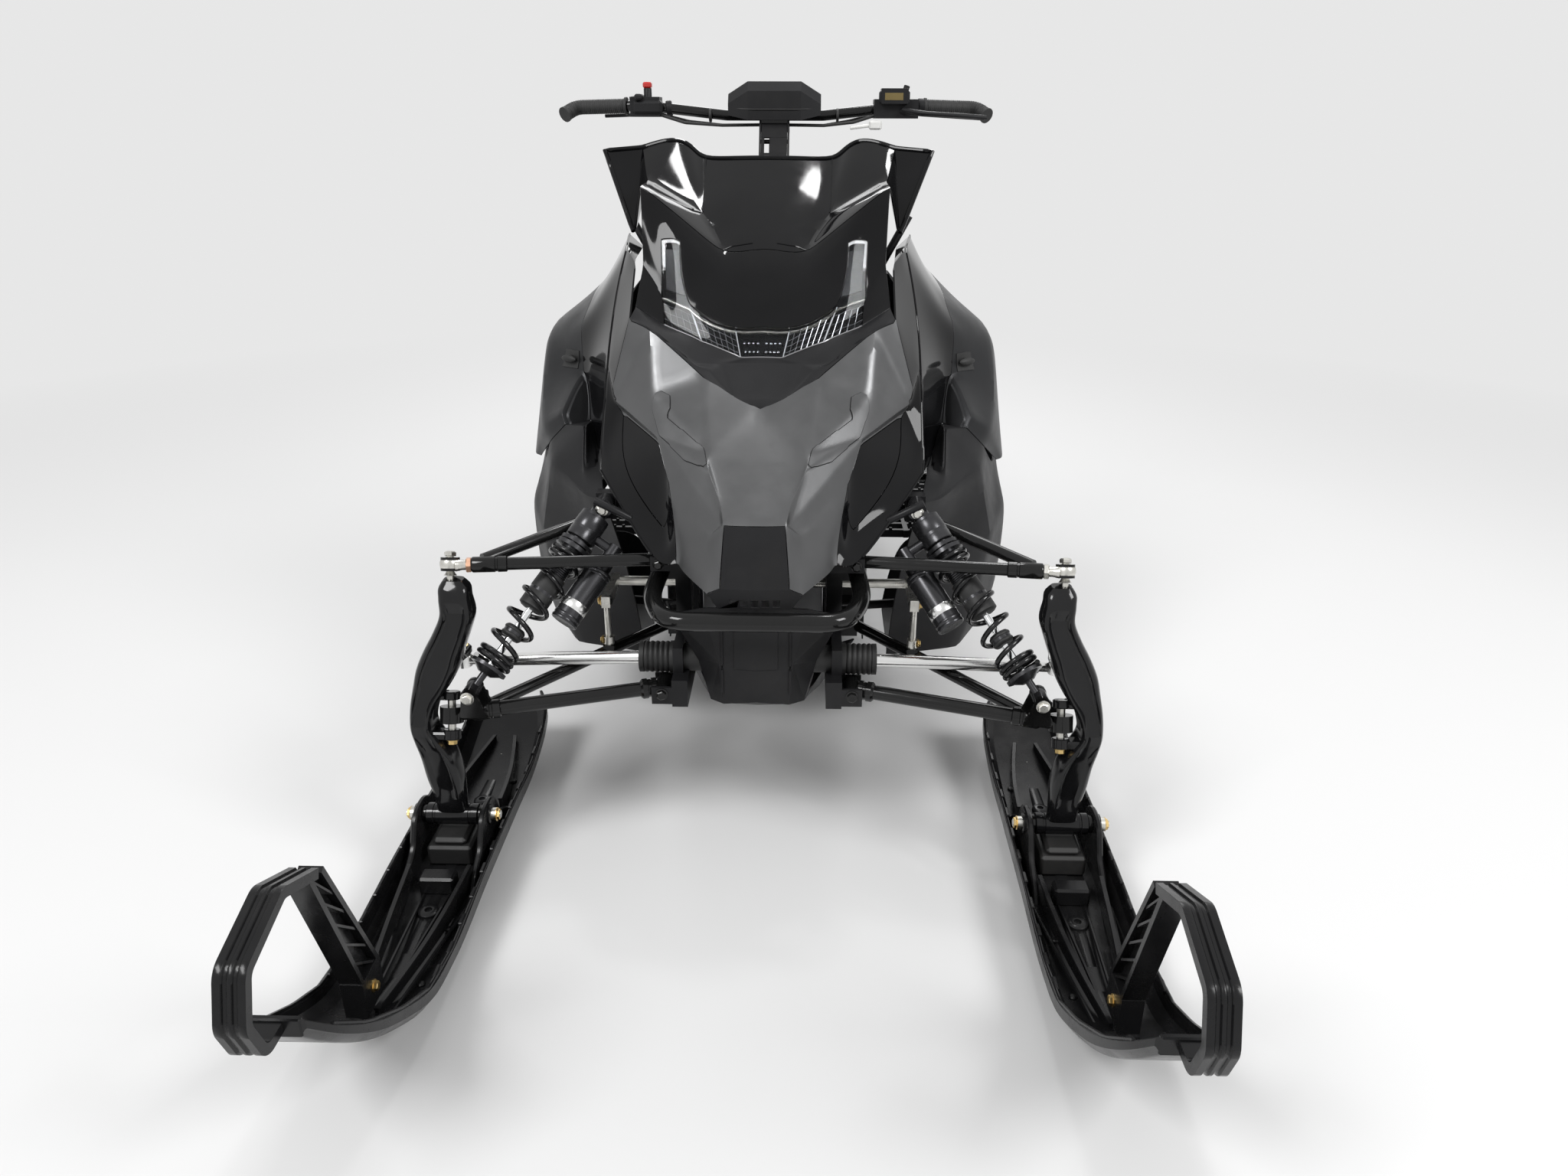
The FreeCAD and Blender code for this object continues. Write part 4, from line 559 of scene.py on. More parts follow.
def soften(obj, width, weld=False):
    """Rounded edges: loose triangles are welded if asked, flat ones joined, and sharp edges bevelled."""
    if weld:
        obj.modifiers.new("weld", "WELD").merge_threshold = 2e-5
        flat = obj.modifiers.new("flat", "DECIMATE")
        flat.decimate_type = "DISSOLVE"
        flat.angle_limit = math.radians(0.6)
    edge = obj.modifiers.new("edge", "BEVEL")
    edge.width = width * MM
    edge.segments = 2
    edge.limit_method = "ANGLE"
    edge.angle_limit = math.radians(24.0)
    edge.harden_normals = True
    edge.use_clamp_overlap = True


def panel_numbers(names):
    return [list(PANELS).index(name) for name in names]


def cage():
    """Corners and faces of the whole body: the polygons of the left half and their twins over the
    centre plane, with the number of each one's panel, and of each corner by name."""
    names = list(CORNERS)
    left = np.array(list(CORNERS.values()))
    aside = left[:, 0] != 0
    twin = np.where(aside, len(names) + np.cumsum(aside) - 1, np.arange(len(names))).tolist()
    number = {n: i for i, n in enumerate(names)} | {n + "*": i for n, i in zip(names, twin)}
    faces = []
    panel = []
    for k, rows in enumerate(PANELS.values()):
        for row in map(str.split, rows.split(",")):
            faces += [[number[n] for n in row], [number[n + "*"] for n in row[:1] + row[:0:-1]]]
            panel += [k, k]
    return np.concatenate([left, left[aside] * (-1, 1, 1)]), faces, panel, number


def fold_creases(mesh):
    """Crease of each edge from the angle between its two faces: none up to the smooth limit, nearly
    sharp from the sharp limit on, and limits half as large beside a crisp panel."""
    edge = read(mesh.loops, "edge_index", kind=int)
    total = read(mesh.polygons, "loop_total", kind=int)
    normal = read(mesh.polygons, "normal", 3)
    crisp = np.isin(read(mesh.polygons, "material_index", kind=int), panel_numbers(CRISP))
    order = np.argsort(edge, kind="stable")
    e = edge[order]
    f = np.repeat(np.arange(len(total)), total)[order]
    k = np.flatnonzero(e[1:] == e[:-1])
    angle = np.full(len(mesh.edges), 180.0)
    angle[e[k]] = np.degrees(np.arccos(np.clip((normal[f[k]] * normal[f[k + 1]]).sum(1), -1, 1)))
    share = np.ones(len(mesh.edges))
    np.minimum.at(share, e, np.where(crisp[f], 0.5, 1.0))
    return np.interp(angle / share, (FOLD_SMOOTH, FOLD_SHARP), (0.0, FOLD_CREASE))


class Body:
    """Dense body skin from the cage: small folds are smoothed, large ones stay sharp, and the cage is moved
    a few times by what its corners still lack to their places."""

    def __init__(self):
        target, faces, panel, self.number = cage()
        mesh = bpy.data.meshes.new("body_cage")
        mesh.from_pydata(target.tolist(), [], faces)
        mesh.polygons.foreach_set("material_index", panel)
        for _ in PANELS:
            mesh.materials.append(None)
        outwards(mesh)
        mesh.attributes.new("crease_edge", "FLOAT", "EDGE").data.foreach_set("value", fold_creases(mesh))
        obj = add("body_cage", mesh)
        fine = obj.modifiers.new("fine", "SUBSURF")
        fine.levels = fine.render_levels = FINE
        fine.boundary_smooth = "PRESERVE_CORNERS"
        here = target.copy()
        for _ in range(CORRECTIONS + 1):
            mesh.vertices.foreach_set("co", here.ravel())
            mesh.update()
            bpy.context.view_layer.update()
            made = obj.evaluated_get(bpy.context.evaluated_depsgraph_get())
            dense = made.to_mesh()
            self.points = read(dense.vertices, "co", 3)
            here += target - self.points[:len(target)]
        self.quads = read(dense.loops, "vertex_index", kind=int).reshape(-1, 4)
        self.panel = read(dense.polygons, "material_index", kind=int)
        self.ends = read(mesh.edges, "vertices", 2, int)
        self.corners = len(target)
        made.to_mesh_clear()
        bpy.data.objects.remove(obj)
        self.inward = self.directions()
        self.tree = BVHTree.FromPolygons(self.points.tolist(), self.quads.tolist())

    def directions(self):
        """Direction into the body at each dense point, averaged over the faces that meet there."""
        a = self.points[self.quads]
        n = np.cross(a[:, 2] - a[:, 0], a[:, 3] - a[:, 1])
        n /= np.maximum(np.linalg.norm(n, axis=1, keepdims=True), 1e-9)
        n *= np.sign(((BODY_MIDDLE - a.mean(1)) * n).sum(1))[:, None]
        total = np.zeros_like(self.points)
        np.add.at(total, self.quads.ravel(), np.repeat(n, 4, 0))
        return unit(total + 1e-9)

    def corner(self, names):
        return [self.number[name] for name in names.split()]

    def into(self, names):
        """Mean direction into the body over some corners."""
        return unit(self.inward[self.corner(names)].sum(0))

    def shell(self, panel, thick, seam=SEAM, sink=0.0):
        """Closed wall over one panel: its dense faces with the border drawn in by the seam and sunk
        inwards, the same faces moved in by the thickness, and a rim between them."""
        used, back = np.unique(self.quads[self.panel == panel_numbers([panel])[0]], return_inverse=True)
        q = back.reshape(-1, 4)
        m = len(used)
        top = self.points[used].copy()
        edge = np.stack([q, np.roll(q, -1, 1)], -1).reshape(-1, 2)
        _, first, count = np.unique(edge.min(1) * m + edge.max(1), return_index=True, return_counts=True)
        rim = edge[first[count == 1]]
        border = np.unique(rim)
        pull = np.zeros_like(top)
        np.add.at(pull, q.ravel(), unit(top[q].mean(1)[:, None] - top[q]).reshape(-1, 3))
        top[border] += unit(pull[border]) * seam
        top += self.inward[used] * sink
        sides = np.stack([rim[:, 1], rim[:, 0], rim[:, 0] + m, rim[:, 1] + m], -1)
        return (np.concatenate([top, top + self.inward[used] * thick]),
                q.tolist() + (q[:, ::-1] + m).tolist() + sides.tolist())

    def fold_line(self, names):
        """Dense points along the cage's edges from corner to corner."""
        inner = 2 ** FINE - 1
        numbers = self.corner(names)
        out = [self.points[numbers[:1]]]
        for i, j in zip(numbers, numbers[1:]):
            k = int(np.flatnonzero((np.sort(self.ends, 1) == sorted((i, j))).all(1))[0])
            run = self.points[self.corners + k * inner:self.corners + (k + 1) * inner]
            out += [run if self.ends[k, 0] == i else run[::-1], self.points[[j]]]
        return np.concatenate(out)

    def patch(self, names, across, down, depth):
        """Grid between four corners, blended along both ways and moved inwards by the depth."""
        a, b, c, d = self.points[self.corner(names)]
        u = np.linspace(0, 1, across)[None, :, None]
        v = np.linspace(0, 1, down)[:, None, None]
        return (a * (1 - u) + b * u) * (1 - v) + (d * (1 - u) + c * u) * v + self.into(names) * depth

    def laid(self, points, lift=0.2):
        """Places laid on the dense skin, a little proud of it."""
        p = np.asarray(points, float)
        spot, out = np.array([self.tree.find_nearest(q)[:2] for q in p.reshape(-1, 3).tolist()]).swapaxes(0, 1)
        out = out * np.sign((out * (spot - BODY_MIDDLE)).sum(1))[:, None]
        return (spot + out * lift).reshape(p.shape)


def body_panels(body):
    """Smooth walls, each over its own panel and, all but the intake's, instead of its node, with a finish and a bevel
    in mm.
    """
    for name, panel, material, bevel in (
            ("hood_shell", "hood", "charcoal_body", 1.1), ("cowl_shell", "cowl", "gloss_black_body", 1.2),
            ("windshield_shell", "windshield", "gloss_black_body", 1.3),
            ("lamp_surround_shell", "lamp_surround", "dark_plastic", 1.0),
            ("side_panel_shell", "side_panels", "gloss_black_body", 1.2),
            ("intake_windows", "intake", "gloss_black_body", 0.8),
            ("flank_shell", "flank_panels", "dark_charcoal", 1.2),
            ("lower_shell", "lower_panels", "dark_plastic", 1.3)):
        piece(name, body.shell(panel, PANEL_WALL), material, "charcoal_body" if material == "dark_charcoal" else None,
              soft=PANEL_SOFT, bevel=bevel, instead=None if panel == "intake" else panel)


def wires(grid, r):
    """Thin square wires along every row and column of a grid."""
    return merge(*[sweep(line, disc(r, 4)) for line in [*grid, *np.swapaxes(grid, 0, 1)]])


def headlight(body):
    """Clear lens over a dark back with bright cell wires, a light guide along the top and a dark middle
    with two rows of small emitters."""
    piece("headlight_lens", body.shell("headlight", 2.5, 0.4), "clear_lens", soft=PANEL_SOFT, instead="headlight")
    cells = []
    for names, across, down in (("T1 AD B2 B1", 8, 6), ("AD AC B3 B2", 6, 5)):
        wave = np.sin(np.arange(across) * 2.1)[None, :, None] * body.into(names) * 2.2
        cells.append(wires((body.patch(names, across, down, 8.0) + wave)[1:], 0.5))
    arm = "AD AA AB AC"
    inner = body.patch(arm, 9, 9, 7.0)[1:-1, 1:-1]
    piece("lamp_arm_guides", both(tray(inner, 5.0, body.into(arm))), "smoked_guide", "clear_lens", bevel=1.0)
    piece("lamp_back", body.shell("headlight", 2.0, 1.2, 17.0), "dark_cells", "dark_plastic")
    piece("lamp_cell_wires", both(*cells), "dark_chrome", "bright_alloy")
    middle = "T0 T1 B1 B0"
    into = body.into(middle)
    dots = body.patch(middle, 12, 8, 14.0)
    spots = [turned([(0, 2.4), (1.5, 2.0), (2.0, 1.0)], dots[r, c], -into, 6) for r in (3, 5) for c in (2, 4, 6, 8)]
    piece("lamp_emitters", both(*spots), "dark_chrome", "bright_alloy")
    line = body.fold_line("AC* AD* T1* T0 T1 AD AC") + into * 7.0 + (0, 0, -6.0)
    piece("lamp_light_guide", sweep(line, disc(4.0, 8, 0.7)), "guide_bar", "clear_lens")
    low = body.fold_line("B3* B2* B1* B0 B1 B2 B3")
    piece("lamp_lower_trim", sweep(low, disc(1.5, 8)), "dark_chrome", "bright_alloy")
    posts = [sweep(body.points[body.corner(ends)] + into * 8.4, disc(1.4, 6)) for ends in ("T1 B1", "AD B2")]
    piece("lamp_dividers", both(*posts), "reflector", "bright_alloy")


def front_hits(name, xs, zs, lift):
    """Grid of places where lines from the front meet a CAD node, a little proud of it."""
    obj = bpy.data.objects[name]
    tree = BVHTree.FromObject(obj, bpy.context.evaluated_depsgraph_get())
    back = obj.matrix_world.inverted()
    hits = [tree.ray_cast(back @ Vector((x * MM, -3.0, z * MM)), back.to_3x3() @ Vector((0, 1, 0)))[0]
            for z in zs for x in xs]
    spot = np.array([obj.matrix_world @ hit for hit in hits])
    return ((spot - (0, BOLT_Y, 0)) / MM - (0, lift, 0)).reshape(len(zs), len(xs), 3)


def belly_trim():
    """Raised middle plate and side ribs on the belly pan's front."""
    plate = front_hits("belly_pan", np.linspace(-38, 38, 9), np.linspace(462, 385, 9), 2.4)
    piece("belly_plate", tray(plate, 4.5, np.array((0.0, 1.0, 0.0))), "dark_plastic", bevel=0.8)
    rib = front_hits("belly_pan", np.linspace(58, 60, 2), np.linspace(455, 335, 14), 0.5)
    piece("belly_ribs", both(sweep(rib.mean(1), disc(2.6, 8))), "dark_plastic")


def body_trim(body):
    """Beads and relief lines that lie on the body panels, and their latches and bolts."""
    rim = body.fold_line("EF* W4* W3* W2* W1* W0 W1 W2 W3 W4 EF")
    piece("windshield_bead", sweep(rim, disc(4.6, 10)), "gloss_black_body")
    edge = body.fold_line("BE0 BE1 BE2 BE3 BE4")
    piece("side_edge_beads", both(sweep(edge, disc(2.0, 8))), "gloss_black_body")
    inner = even(((180, 314, 802), (158, 302, 792), (152, 272, 760), (92, 186, 738), (86, 156, 720)), count=40)
    outer = even(((184, 310, 799), (188, 285, 780), (175, 242, 747), (122, 182, 718), (90, 153, 716)), count=40)
    k = np.linspace(0, 1, 9)[:, None, None]
    band = body.laid(inner * (1 - k) + outer * k, 2.4)
    piece("hood_relief", both(tray(band, 5.0, -unit((0.35, -0.5, 0.8)))), "charcoal_body", bevel=0.8)
    lines = [sweep(body.laid(row, 0.6), disc(1.3, 6)) for row in (inner, outer)]
    piece("hood_relief_lines", both(*lines), "dark_plastic")
    brow = [sweep(body.laid(even(row), 0.0), disc(1.4, 6)) for row in
            (((23, 505, 1050), (60, 500, 1045), (77, 490, 1035)), ((127, 728, 1186), (121, 580, 1098)))]
    piece("screen_fold_lines", both(*brow), "gloss_black_body")
    out = unit((0.55, -0.82, 0.18))
    side = unit(np.cross((0, 0, 1), out))
    u = np.linspace(-24, 24, 9)[None, :, None]
    v = np.linspace(-18, 18, 7)[:, None, None]
    pocket = body.laid(np.array((404, 606, 808)) + side * u + np.cross(out, side) * v, 1.5)
    t = np.linspace(-1, 1, 13)
    bar = pocket[3, 4] + out * 8 + side * t[:, None] * 20
    latch = (tray(pocket, 4.0, -out), turned([(-3, 8), (8, 7)], pocket[3, 4], out, 14),
             sweep(bar, disc(7.5, 14, 0.8), up=out, grow=np.sqrt(1.04 - t ** 2)))
    piece("panel_latches", both(*latch), "rubber", bevel=0.8)
    bolts = (((505, 700, 505), (1, -0.1, 0)), ((500, 640, 420), (1, -0.3, 0.1)),
             ((503, 800, 430), (1, 0.1, 0)), ((478, 560, 470), (0.8, -0.6, 0)))
    piece("panel_bolts", both(*[cap_bolt(at, way) for at, way in bolts]), "dark_plastic")


KING = unit(KING_TOP - KING_LOW)
DAMPER = unit(SHOCK_TOP - SHOCK_LOW)
# Ski along its length: Y, half width, floor height, wall height.
SKI_ROWS = ((430, 62, 100, 132), (395, 78, 82, 124), (330, 85, 56, 100), (230, 85, 36, 80),
            (90, 85, 30, 84), (-110, 85, 30, 82), (-300, 85, 32, 74), (-400, 84, 50, 90),
            (-480, 80, 94, 132), (-565, 72, 156, 190), (-630, 58, 222, 252), (-662, 46, 262, 290))
# Spindle down its height: Z, offset across, Y, half widths across and along.
SPINDLE_ROWS = ((540, -6, 74, 17, 13), (530, -7, 72, 25, 20), (512, -8, 67, 27, 24), (483, -11, 60, 29, 28),
                (454, -1, 51, 31, 30), (425, 12, 41, 34, 32), (397, 22, 31, 36, 34), (370, 32, 21, 31, 35),
                (345, 43, 12, 24, 35), (320, 49, 5, 20, 34), (300, 50, 1, 19, 33), (278, 42, -2, 23, 32),
                (250, 31, -3, 28, 31), (200, 23, -3, 30, 28), (160, 20, -1, 26, 25), (132, 20, 0, 25, 22))
# Seat along its length: Y, half width at the foot and the shoulder, crown height.
SEAT_ROWS = np.array(((1130, 132, 74, 806), (1180, 144, 88, 796), (1300, 156, 106, 784), (1480, 163, 122, 792),
                      (1640, 163, 124, 812), (1740, 157, 116, 818), (1800, 148, 100, 800), (1828, 140, 86, 770)))
# Softened edges of the CAD nodes, in mm.
NODE_EDGES = {0.8: "nose_plate running_boards",
              1.0: "front_frame tunnel skid_frame snow_flap ski_loop_left ski_loop_right headlight",
              1.2: "hood lamp_surround side_panels flank_panels belly_pan ski_left ski_right",
              1.5: "cowl windshield lower_panels controls", 2.0: "tail_light knuckle_left knuckle_right",
              4.0: "engine_block", 5.0: "bar_pad", 6.0: "console"}


def king(t):
    return KING_LOW + (KING_TOP - KING_LOW) * t


def on_king(rows, sides):
    return on_line(KING_LOW, KING_TOP, rows, sides)


def on_damper(rows, sides=28):
    return on_line(SHOCK_LOW, SHOCK_TOP, rows, sides)


def ski_shell():
    """Trough whose outline eases along the ski: rounded bilge, wall with a ledge halfway and a round
    top, ribs that run from the saddle to both ends, cheeks with flowing sides, keel and tip plate."""
    y, w, zb, zw = eased(SKI_ROWS, 90).T
    w = np.minimum(w, 85.0)
    f = w * 0.86
    h = zw - zb
    half = ((f * 0, zb), (f - 7, zb), (f - 2, zb + 2.2), (w - 2.6, zb + 0.42 * h), (w, zb + 0.5 * h), (w, zw - 2),
            (w - 2, zw), (w - 4.5, zw), (w - 6.5, zw - 2), (w - 7, zb + 0.5 * h), (f - 6, zb + 12),
            (f - 12, zb + 7.6), (f * 0, zb + 7))
    keel = ((330, 58), (215, 12), (-330, 12), (-430, 64), (-300, 36), (230, 42))
    parts = [loft(y, half, STANCE, 1), prism(keel, STANCE - 12, STANCE + 12, 0, 3)]
    cheek = [(128, 36), (104, 62), (62, 84), (40, 128), (18, 139)]
    cheek = rounded(cheek + [(-a, z) for a, z in cheek[::-1]], 12, 3)
    k = np.linspace(0, 1, 12)
    bend = np.sin(k * np.pi)
    for s in SIGNS:
        parts.append(prism(cheek, *sorted((STANCE + s * 54, STANCE + s * 64)), 0, 2.5))
        boss = (STANCE + s * 63.5, 0, SKI_BOLT_Z)
        parts.append(turned([(-1, 17), (0, 18), (4, 18), (5, 16)], boss, (s, 0, 0), 24))
        for xa, ya, xb, yb, foot in ((52, -100, 13, -430, 60), (52, 100, 21, 335, 58)):
            low = 34 + (foot - 34) * k
            high = 78 + (foot - 61) * k - 6 * bend
            rib = ((-2.6, low), (-2.6, high - 2), (-4.2, high), (-3.4, high + 2.4))
            parts.append(loft(ya + (yb - ya) * k, rib, STANCE + s * (xa + (xb - xa) * k + bend * 5.0)))
    parts.append(block(STANCE - 40, STANCE + 40, -664, -655, 262, 290, 2))
    sided("ski_body", ("ski_shell", merge(*parts), "ski_plastic", None, {"soft": 30.0, "instead": "ski"}))


def ski_wall(y):
    """Half width and wall height of the ski at a place along it."""
    rows = np.array(SKI_ROWS[-2:0:-1], float)
    return np.interp(y, rows[:, 0], rows[:, 1]), np.interp(y, rows[:, 0], rows[:, 3])


def ski_details():
    """Bolts, boss, rubber block, wall lips and screw bumps of one ski, and the loop's bolt."""
    up = (0, 0, 1)
    y = np.linspace(390, -625, 60)
    w, z = ski_wall(y)
    walls = [sweep(np.stack([STANCE + s * (w - 3.0), y, z - drop], -1), disc(r, 8)) for s in SIGNS
             for drop, r in ((0.0, 2.9), (13.0, 1.9))]
    for s in SIGNS:
        for at in range(-360, 330, 62):
            half, top = ski_wall(at)
            x = STANCE + s * (half - 5.0)
            walls.append(block(x - 3.5, x + 3.5, at - 13, at + 13, top - 6, top + 4.5, 1.6))
    walls += [sweep([(STANCE + s * a, -130, 38.5), (STANCE + s * b, -420, 60)], disc(3.0, 6)) for s in SIGNS
              for a, b in ((22, 8), (66, 30))]
    walls += [turned([(0, 18), (5, 17), (7, 14), (7, 6.5), (2, 6)], (STANCE, -172, 36), up, 20),
              turned([(0, 16), (5, 15), (7, 12), (7, 6), (2, 5.5)], (STANCE, 150, 38), up, 20),
              block(STANCE - 30, STANCE + 30, -128, -96, 36, 70, 4)]
    walls += [turned([(0, 6.5), (3, 6), (4.5, 4), (4.5, 1)], (STANCE + s * 46, yy, zz), up, 12)
              for s in SIGNS for yy, zz in ((-215, 39), (-345, 44), (215, 41))]
    rubber = merge(block(STANCE - 40, STANCE + 40, -50, 46, 38, 78, 5),
                   block(STANCE - 30, STANCE + 30, -44, 40, 76, 91, 6))
    bolts = [hexagon_bolt((STANCE + s * x, yy, zz), (s, 0, 0), r, high) for x, yy, zz, r, high in
             ((76.5, 0, SKI_BOLT_Z, 8.5, 5.6), (16, -430, 122, 6.5, 6)) for s in SIGNS]
    spacers = [turned([(-1, 12), (0, 16), (10, 16), (11, 12)], (STANCE + s * 43, 0, SKI_BOLT_Z), (s, 0, 0), 20)
               for s in SIGNS]
    sided("ski_body", ("ski_walls", merge(*walls), "ski_plastic", None, {}),
          ("ski_rubber", rubber, "rubber", None, {"bevel": 2.0}),
          ("ski_bolts", merge(*bolts), "gold_zinc", "steel", {"soft": 20.0}),
          ("ski_spacers", merge(*spacers), "black_tube", None, {}))


def spindles():
    """Forged spindle: rounded sections eased along its height with a flute down the front and back,
    turned lugs about the lower ball, the foot tube and the steering arm."""
    z, dx, y, hx, hy = (column[:, None] for column in eased(SPINDLE_ROWS, 84).T)
    c, s = disc(1.0, 48).T
    c = np.sign(c) * np.abs(c) ** 0.62
    s = np.sign(s) * np.abs(s) ** 0.62
    window = np.clip(np.minimum((z - 150) / 30, (512 - z) / 24), 0, 1) * np.clip(np.abs(z - 300) / 40, 0.25, 1)
    flute = np.clip((0.66 - np.abs(c)) / 0.16, 0, 1) * window * 9.0
    foot = [(29, 19), (30, 17.8), (33, 17.8), (34, 19), (45, 19), (47, 16.5)]
    parts = [rings(KING_LOW[0] + dx + hx * c, y + (hy - flute) * s, z),
             turned([(-a, r) for a, r in foot[::-1]] + foot, (STANCE, 0, SKI_BOLT_Z), (1, 0, 0), 32)]
    length = np.linalg.norm(KING_TOP - KING_LOW)
    for low, high in ((-0.17, -0.1), (0.1, 0.155)):
        t = (high - low) * length
        parts.append(turned([(0, 13), (1.5, 15), (t - 1.5, 15), (t, 13)], king(low), KING, 24))
        _, mid_y, mid_z = king((low + high) / 2)
        d = (high - low) * 110
        parts.append(block(524, 556, mid_y - 11, mid_y + 11, mid_z - d, mid_z + d, 3))
    arm = rounded([(552, 10), (572, 10), (558, 128), (558, 150), (548, 162), (532, 162), (522, 150), (522, 128),
                   (552, 10.5)], 6, 3)[:-1]
    parts.append(prism(arm, 364, 378, 2, 3))
    pins = merge(on_king([(-0.13, 7), (0.13, 7)], 16), on_king([(0.86, 6), (1.05, 6)], 16),
                 on_king([(0.925, 11), (0.94, 8), (0.952, 6.5)], 18))
    sided("knuckle_body", ("spindle", merge(*parts), "black_forging", None, {"soft": 32.0, "instead": "knuckle"}),
          ("spindle_pins", pins, "steel", None, {}))


def knuckle_bolts():
    """Bolts on the spindles: the cap over the upper ball, the gold bolt under the lower one."""
    cap = turned([(0, 6), (0, 9.5), (1.5, 10.2), (6, 10.2), (8, 8), (9, 4)], king(1.052), KING, 6)
    bolts = (("upper_ball_cap", cap, "steel"),
             ("lower_ball_bolt", hexagon_bolt(king(-0.168), -KING, 7.5, 8), "gold_zinc"),
             ("tie_rod_bolt", hexagon_bolt((540, 145, 378), (0, 0, 1), 8, 6), "gold_zinc"))
    sided("knuckle_body", *[(*bolt, "steel", {"soft": 20.0}) for bolt in bolts])


def front_ends():
    """Rod ends, jam nuts, sleeves and bolts of the two front suspension arms, on both sides."""
    tip = np.array((490.0, 83.0, 562.0))
    d = unit(tip - (172.0, 152.0, 549.0))
    eye = turned([(-12, 8.5), (-11.5, 12), (-8.5, 15.5), (-3, 17.5), (3, 17.5), (8.5, 15.5), (11.5, 12), (12, 8.5)],
                 KING_TOP, KING, 28)
    neck = turned([(-2, 9), (8, 8.6), (14, 9.5), (20, 11)], tip, d, 12)
    piece("rod_end_housings", both(eye, neck), "steel")
    nut = turned([(-8, 11.5), (-6.8, 13.4), (0, 13.4), (1.2, 11.5)], tip + d * 1.5, d, 6)
    piece("jam_nut_left", nut, "steel", soft=20.0)
    piece("jam_nut_right", other(nut), "copper_nut", "steel", soft=20.0)
    low_pivot = np.array((168.0, 100.0, 325.0))
    low_tip = np.array((508.0, 1.0, 320.0))
    e = unit(low_tip - low_pivot)
    sleeves = [turned(profile, foot, way, 24) for profile, foot, way in (
        ([(-66, 11.4), (-64, 13.8), (-50, 13.8), (-49, 12.6), (-46, 12.6), (-45, 13.8), (-9, 13.8), (-7, 12.6)],
         tip, d),
        ([(-70, 13.4), (-68, 16.5), (-56, 16.5), (-55, 15), (-51, 15), (-50, 16.5), (-26, 16.5), (-22, 14)],
         low_tip, e),
        ([(0, 13.4), (2, 18), (10, 18), (11, 16), (16, 16), (17, 18), (26, 18), (30, 14)], low_pivot + e * 12, e))]
    piece("arm_sleeves", both(*sleeves), "black_tube")
    front = (0, -1, 0)
    for name, material, slot, bolts in (
            ("arm_pivot_bolts", "black_tube", None,
             (((172, 128, 549), front, 7, 6), ((178, 376, 600), front, 7, 6), ((168, 70, 325), front, 8, 7),
              ((168, 373, 345), (0, 1, 0), 8, 7))),
            ("damper_bolts", "steel", None,
             ((SHOCK_LOW + (0, -28.4, 0), front, 8, 6), (SHOCK_TOP + (0, -27, 0), front, 8, 6))),
            ("link_bolts", "gold_zinc", "steel",
             (((293, 216, 440), (1, 0, 0), 6.5, 5), ((294, 216, 360), (1, 0, 0), 6, 4)))):
        piece(name, both(*[hexagon_bolt(*bolt) for bolt in bolts]), material, slot, soft=20.0)
    piece("boot_ribs", both(turned(ringed(-9, 46, 26, 2.4, 6), (158, 132, 368.5), (1, 0, 0), 24)), "rubber")


def tow_bar():
    """Front tow bar as one bent tube with round corners."""
    half = [(150, 8, 496), (184, 95, 500), (174, 215, 516)]
    path = rounded([(-x, y, z) for x, y, z in half[::-1]] + half, 42, 10)
    piece("tow_bar_tube", sweep(even(path, 4.0), disc(16, 28)), "black_tube", soft=40.0, instead="front_bumper")


def dampers():
    """Chrome shafts, rubber stops, matt cups, ringed cans and the side reservoirs with their bands. Places
    along them are shares of the damper's or the reservoir's length."""
    piece("damper_shafts", both(on_damper([(0.128, 6.9), (0.428, 6.9)], 20)), "reflector", "steel")
    stop = on_damper(ringed(0.27, 0.325, 15.5, 4.0, 2), 24)
    cup = on_damper([(0.425, 20), (0.432, 24.4), (0.50, 24.4), (0.505, 23.2), (0.515, 23.2), (0.52, 24.4),
                     (0.598, 23.8), (0.604, 21)])
    piece("damper_rubbers", both(stop, cup), "rubber")
    thread = on_damper(ringed(0.605, 0.735, 20.6, 0.9, 14))
    can = on_damper([(0.797, 24), (0.802, 27.6), (0.84, 27.6), (0.845, 26.6), (0.852, 26.6), (0.857, 27.6),
                     (0.915, 27.6), (0.928, 25.5), (0.935, 20)])
    piece("damper_bodies", both(thread, can), "damper_grey")
    whole = SHOCK_TOP - SHOCK_LOW
    foot = SHOCK_LOW + whole * 0.46 + RESERVOIR_SIDE
    end = foot + whole * 0.41
    ribs = [on_line(foot, end, ringed(*rib, 2), 28) for rib in ((0.0, 0.09, 24.2, 1.3), (0.60, 0.68, 24.4, 1.1))]
    piece("reservoir_ribs", both(*ribs), "damper_grey")
    band = on_line(foot, end, [(0.15, 24.5), (0.155, 25.0), (0.245, 25.0), (0.25, 24.5)], 28)
    piece("reservoir_bands", both(band), "bright_alloy")
    s = unit(np.cross(DAMPER, (0, -1, 0.3)))
    u = np.cross(s, DAMPER)
    a = np.radians(np.linspace(205, 290, 9))[:, None]
    t = np.linspace(0.33, 0.52, 4)[:, None, None]
    grid = foot + (end - foot) * t + (s * np.cos(a) + u * np.sin(a)) * 24.9
    piece("reservoir_patches", both(tray(grid, 1.0, -u)), "orange_band", "bright_alloy")


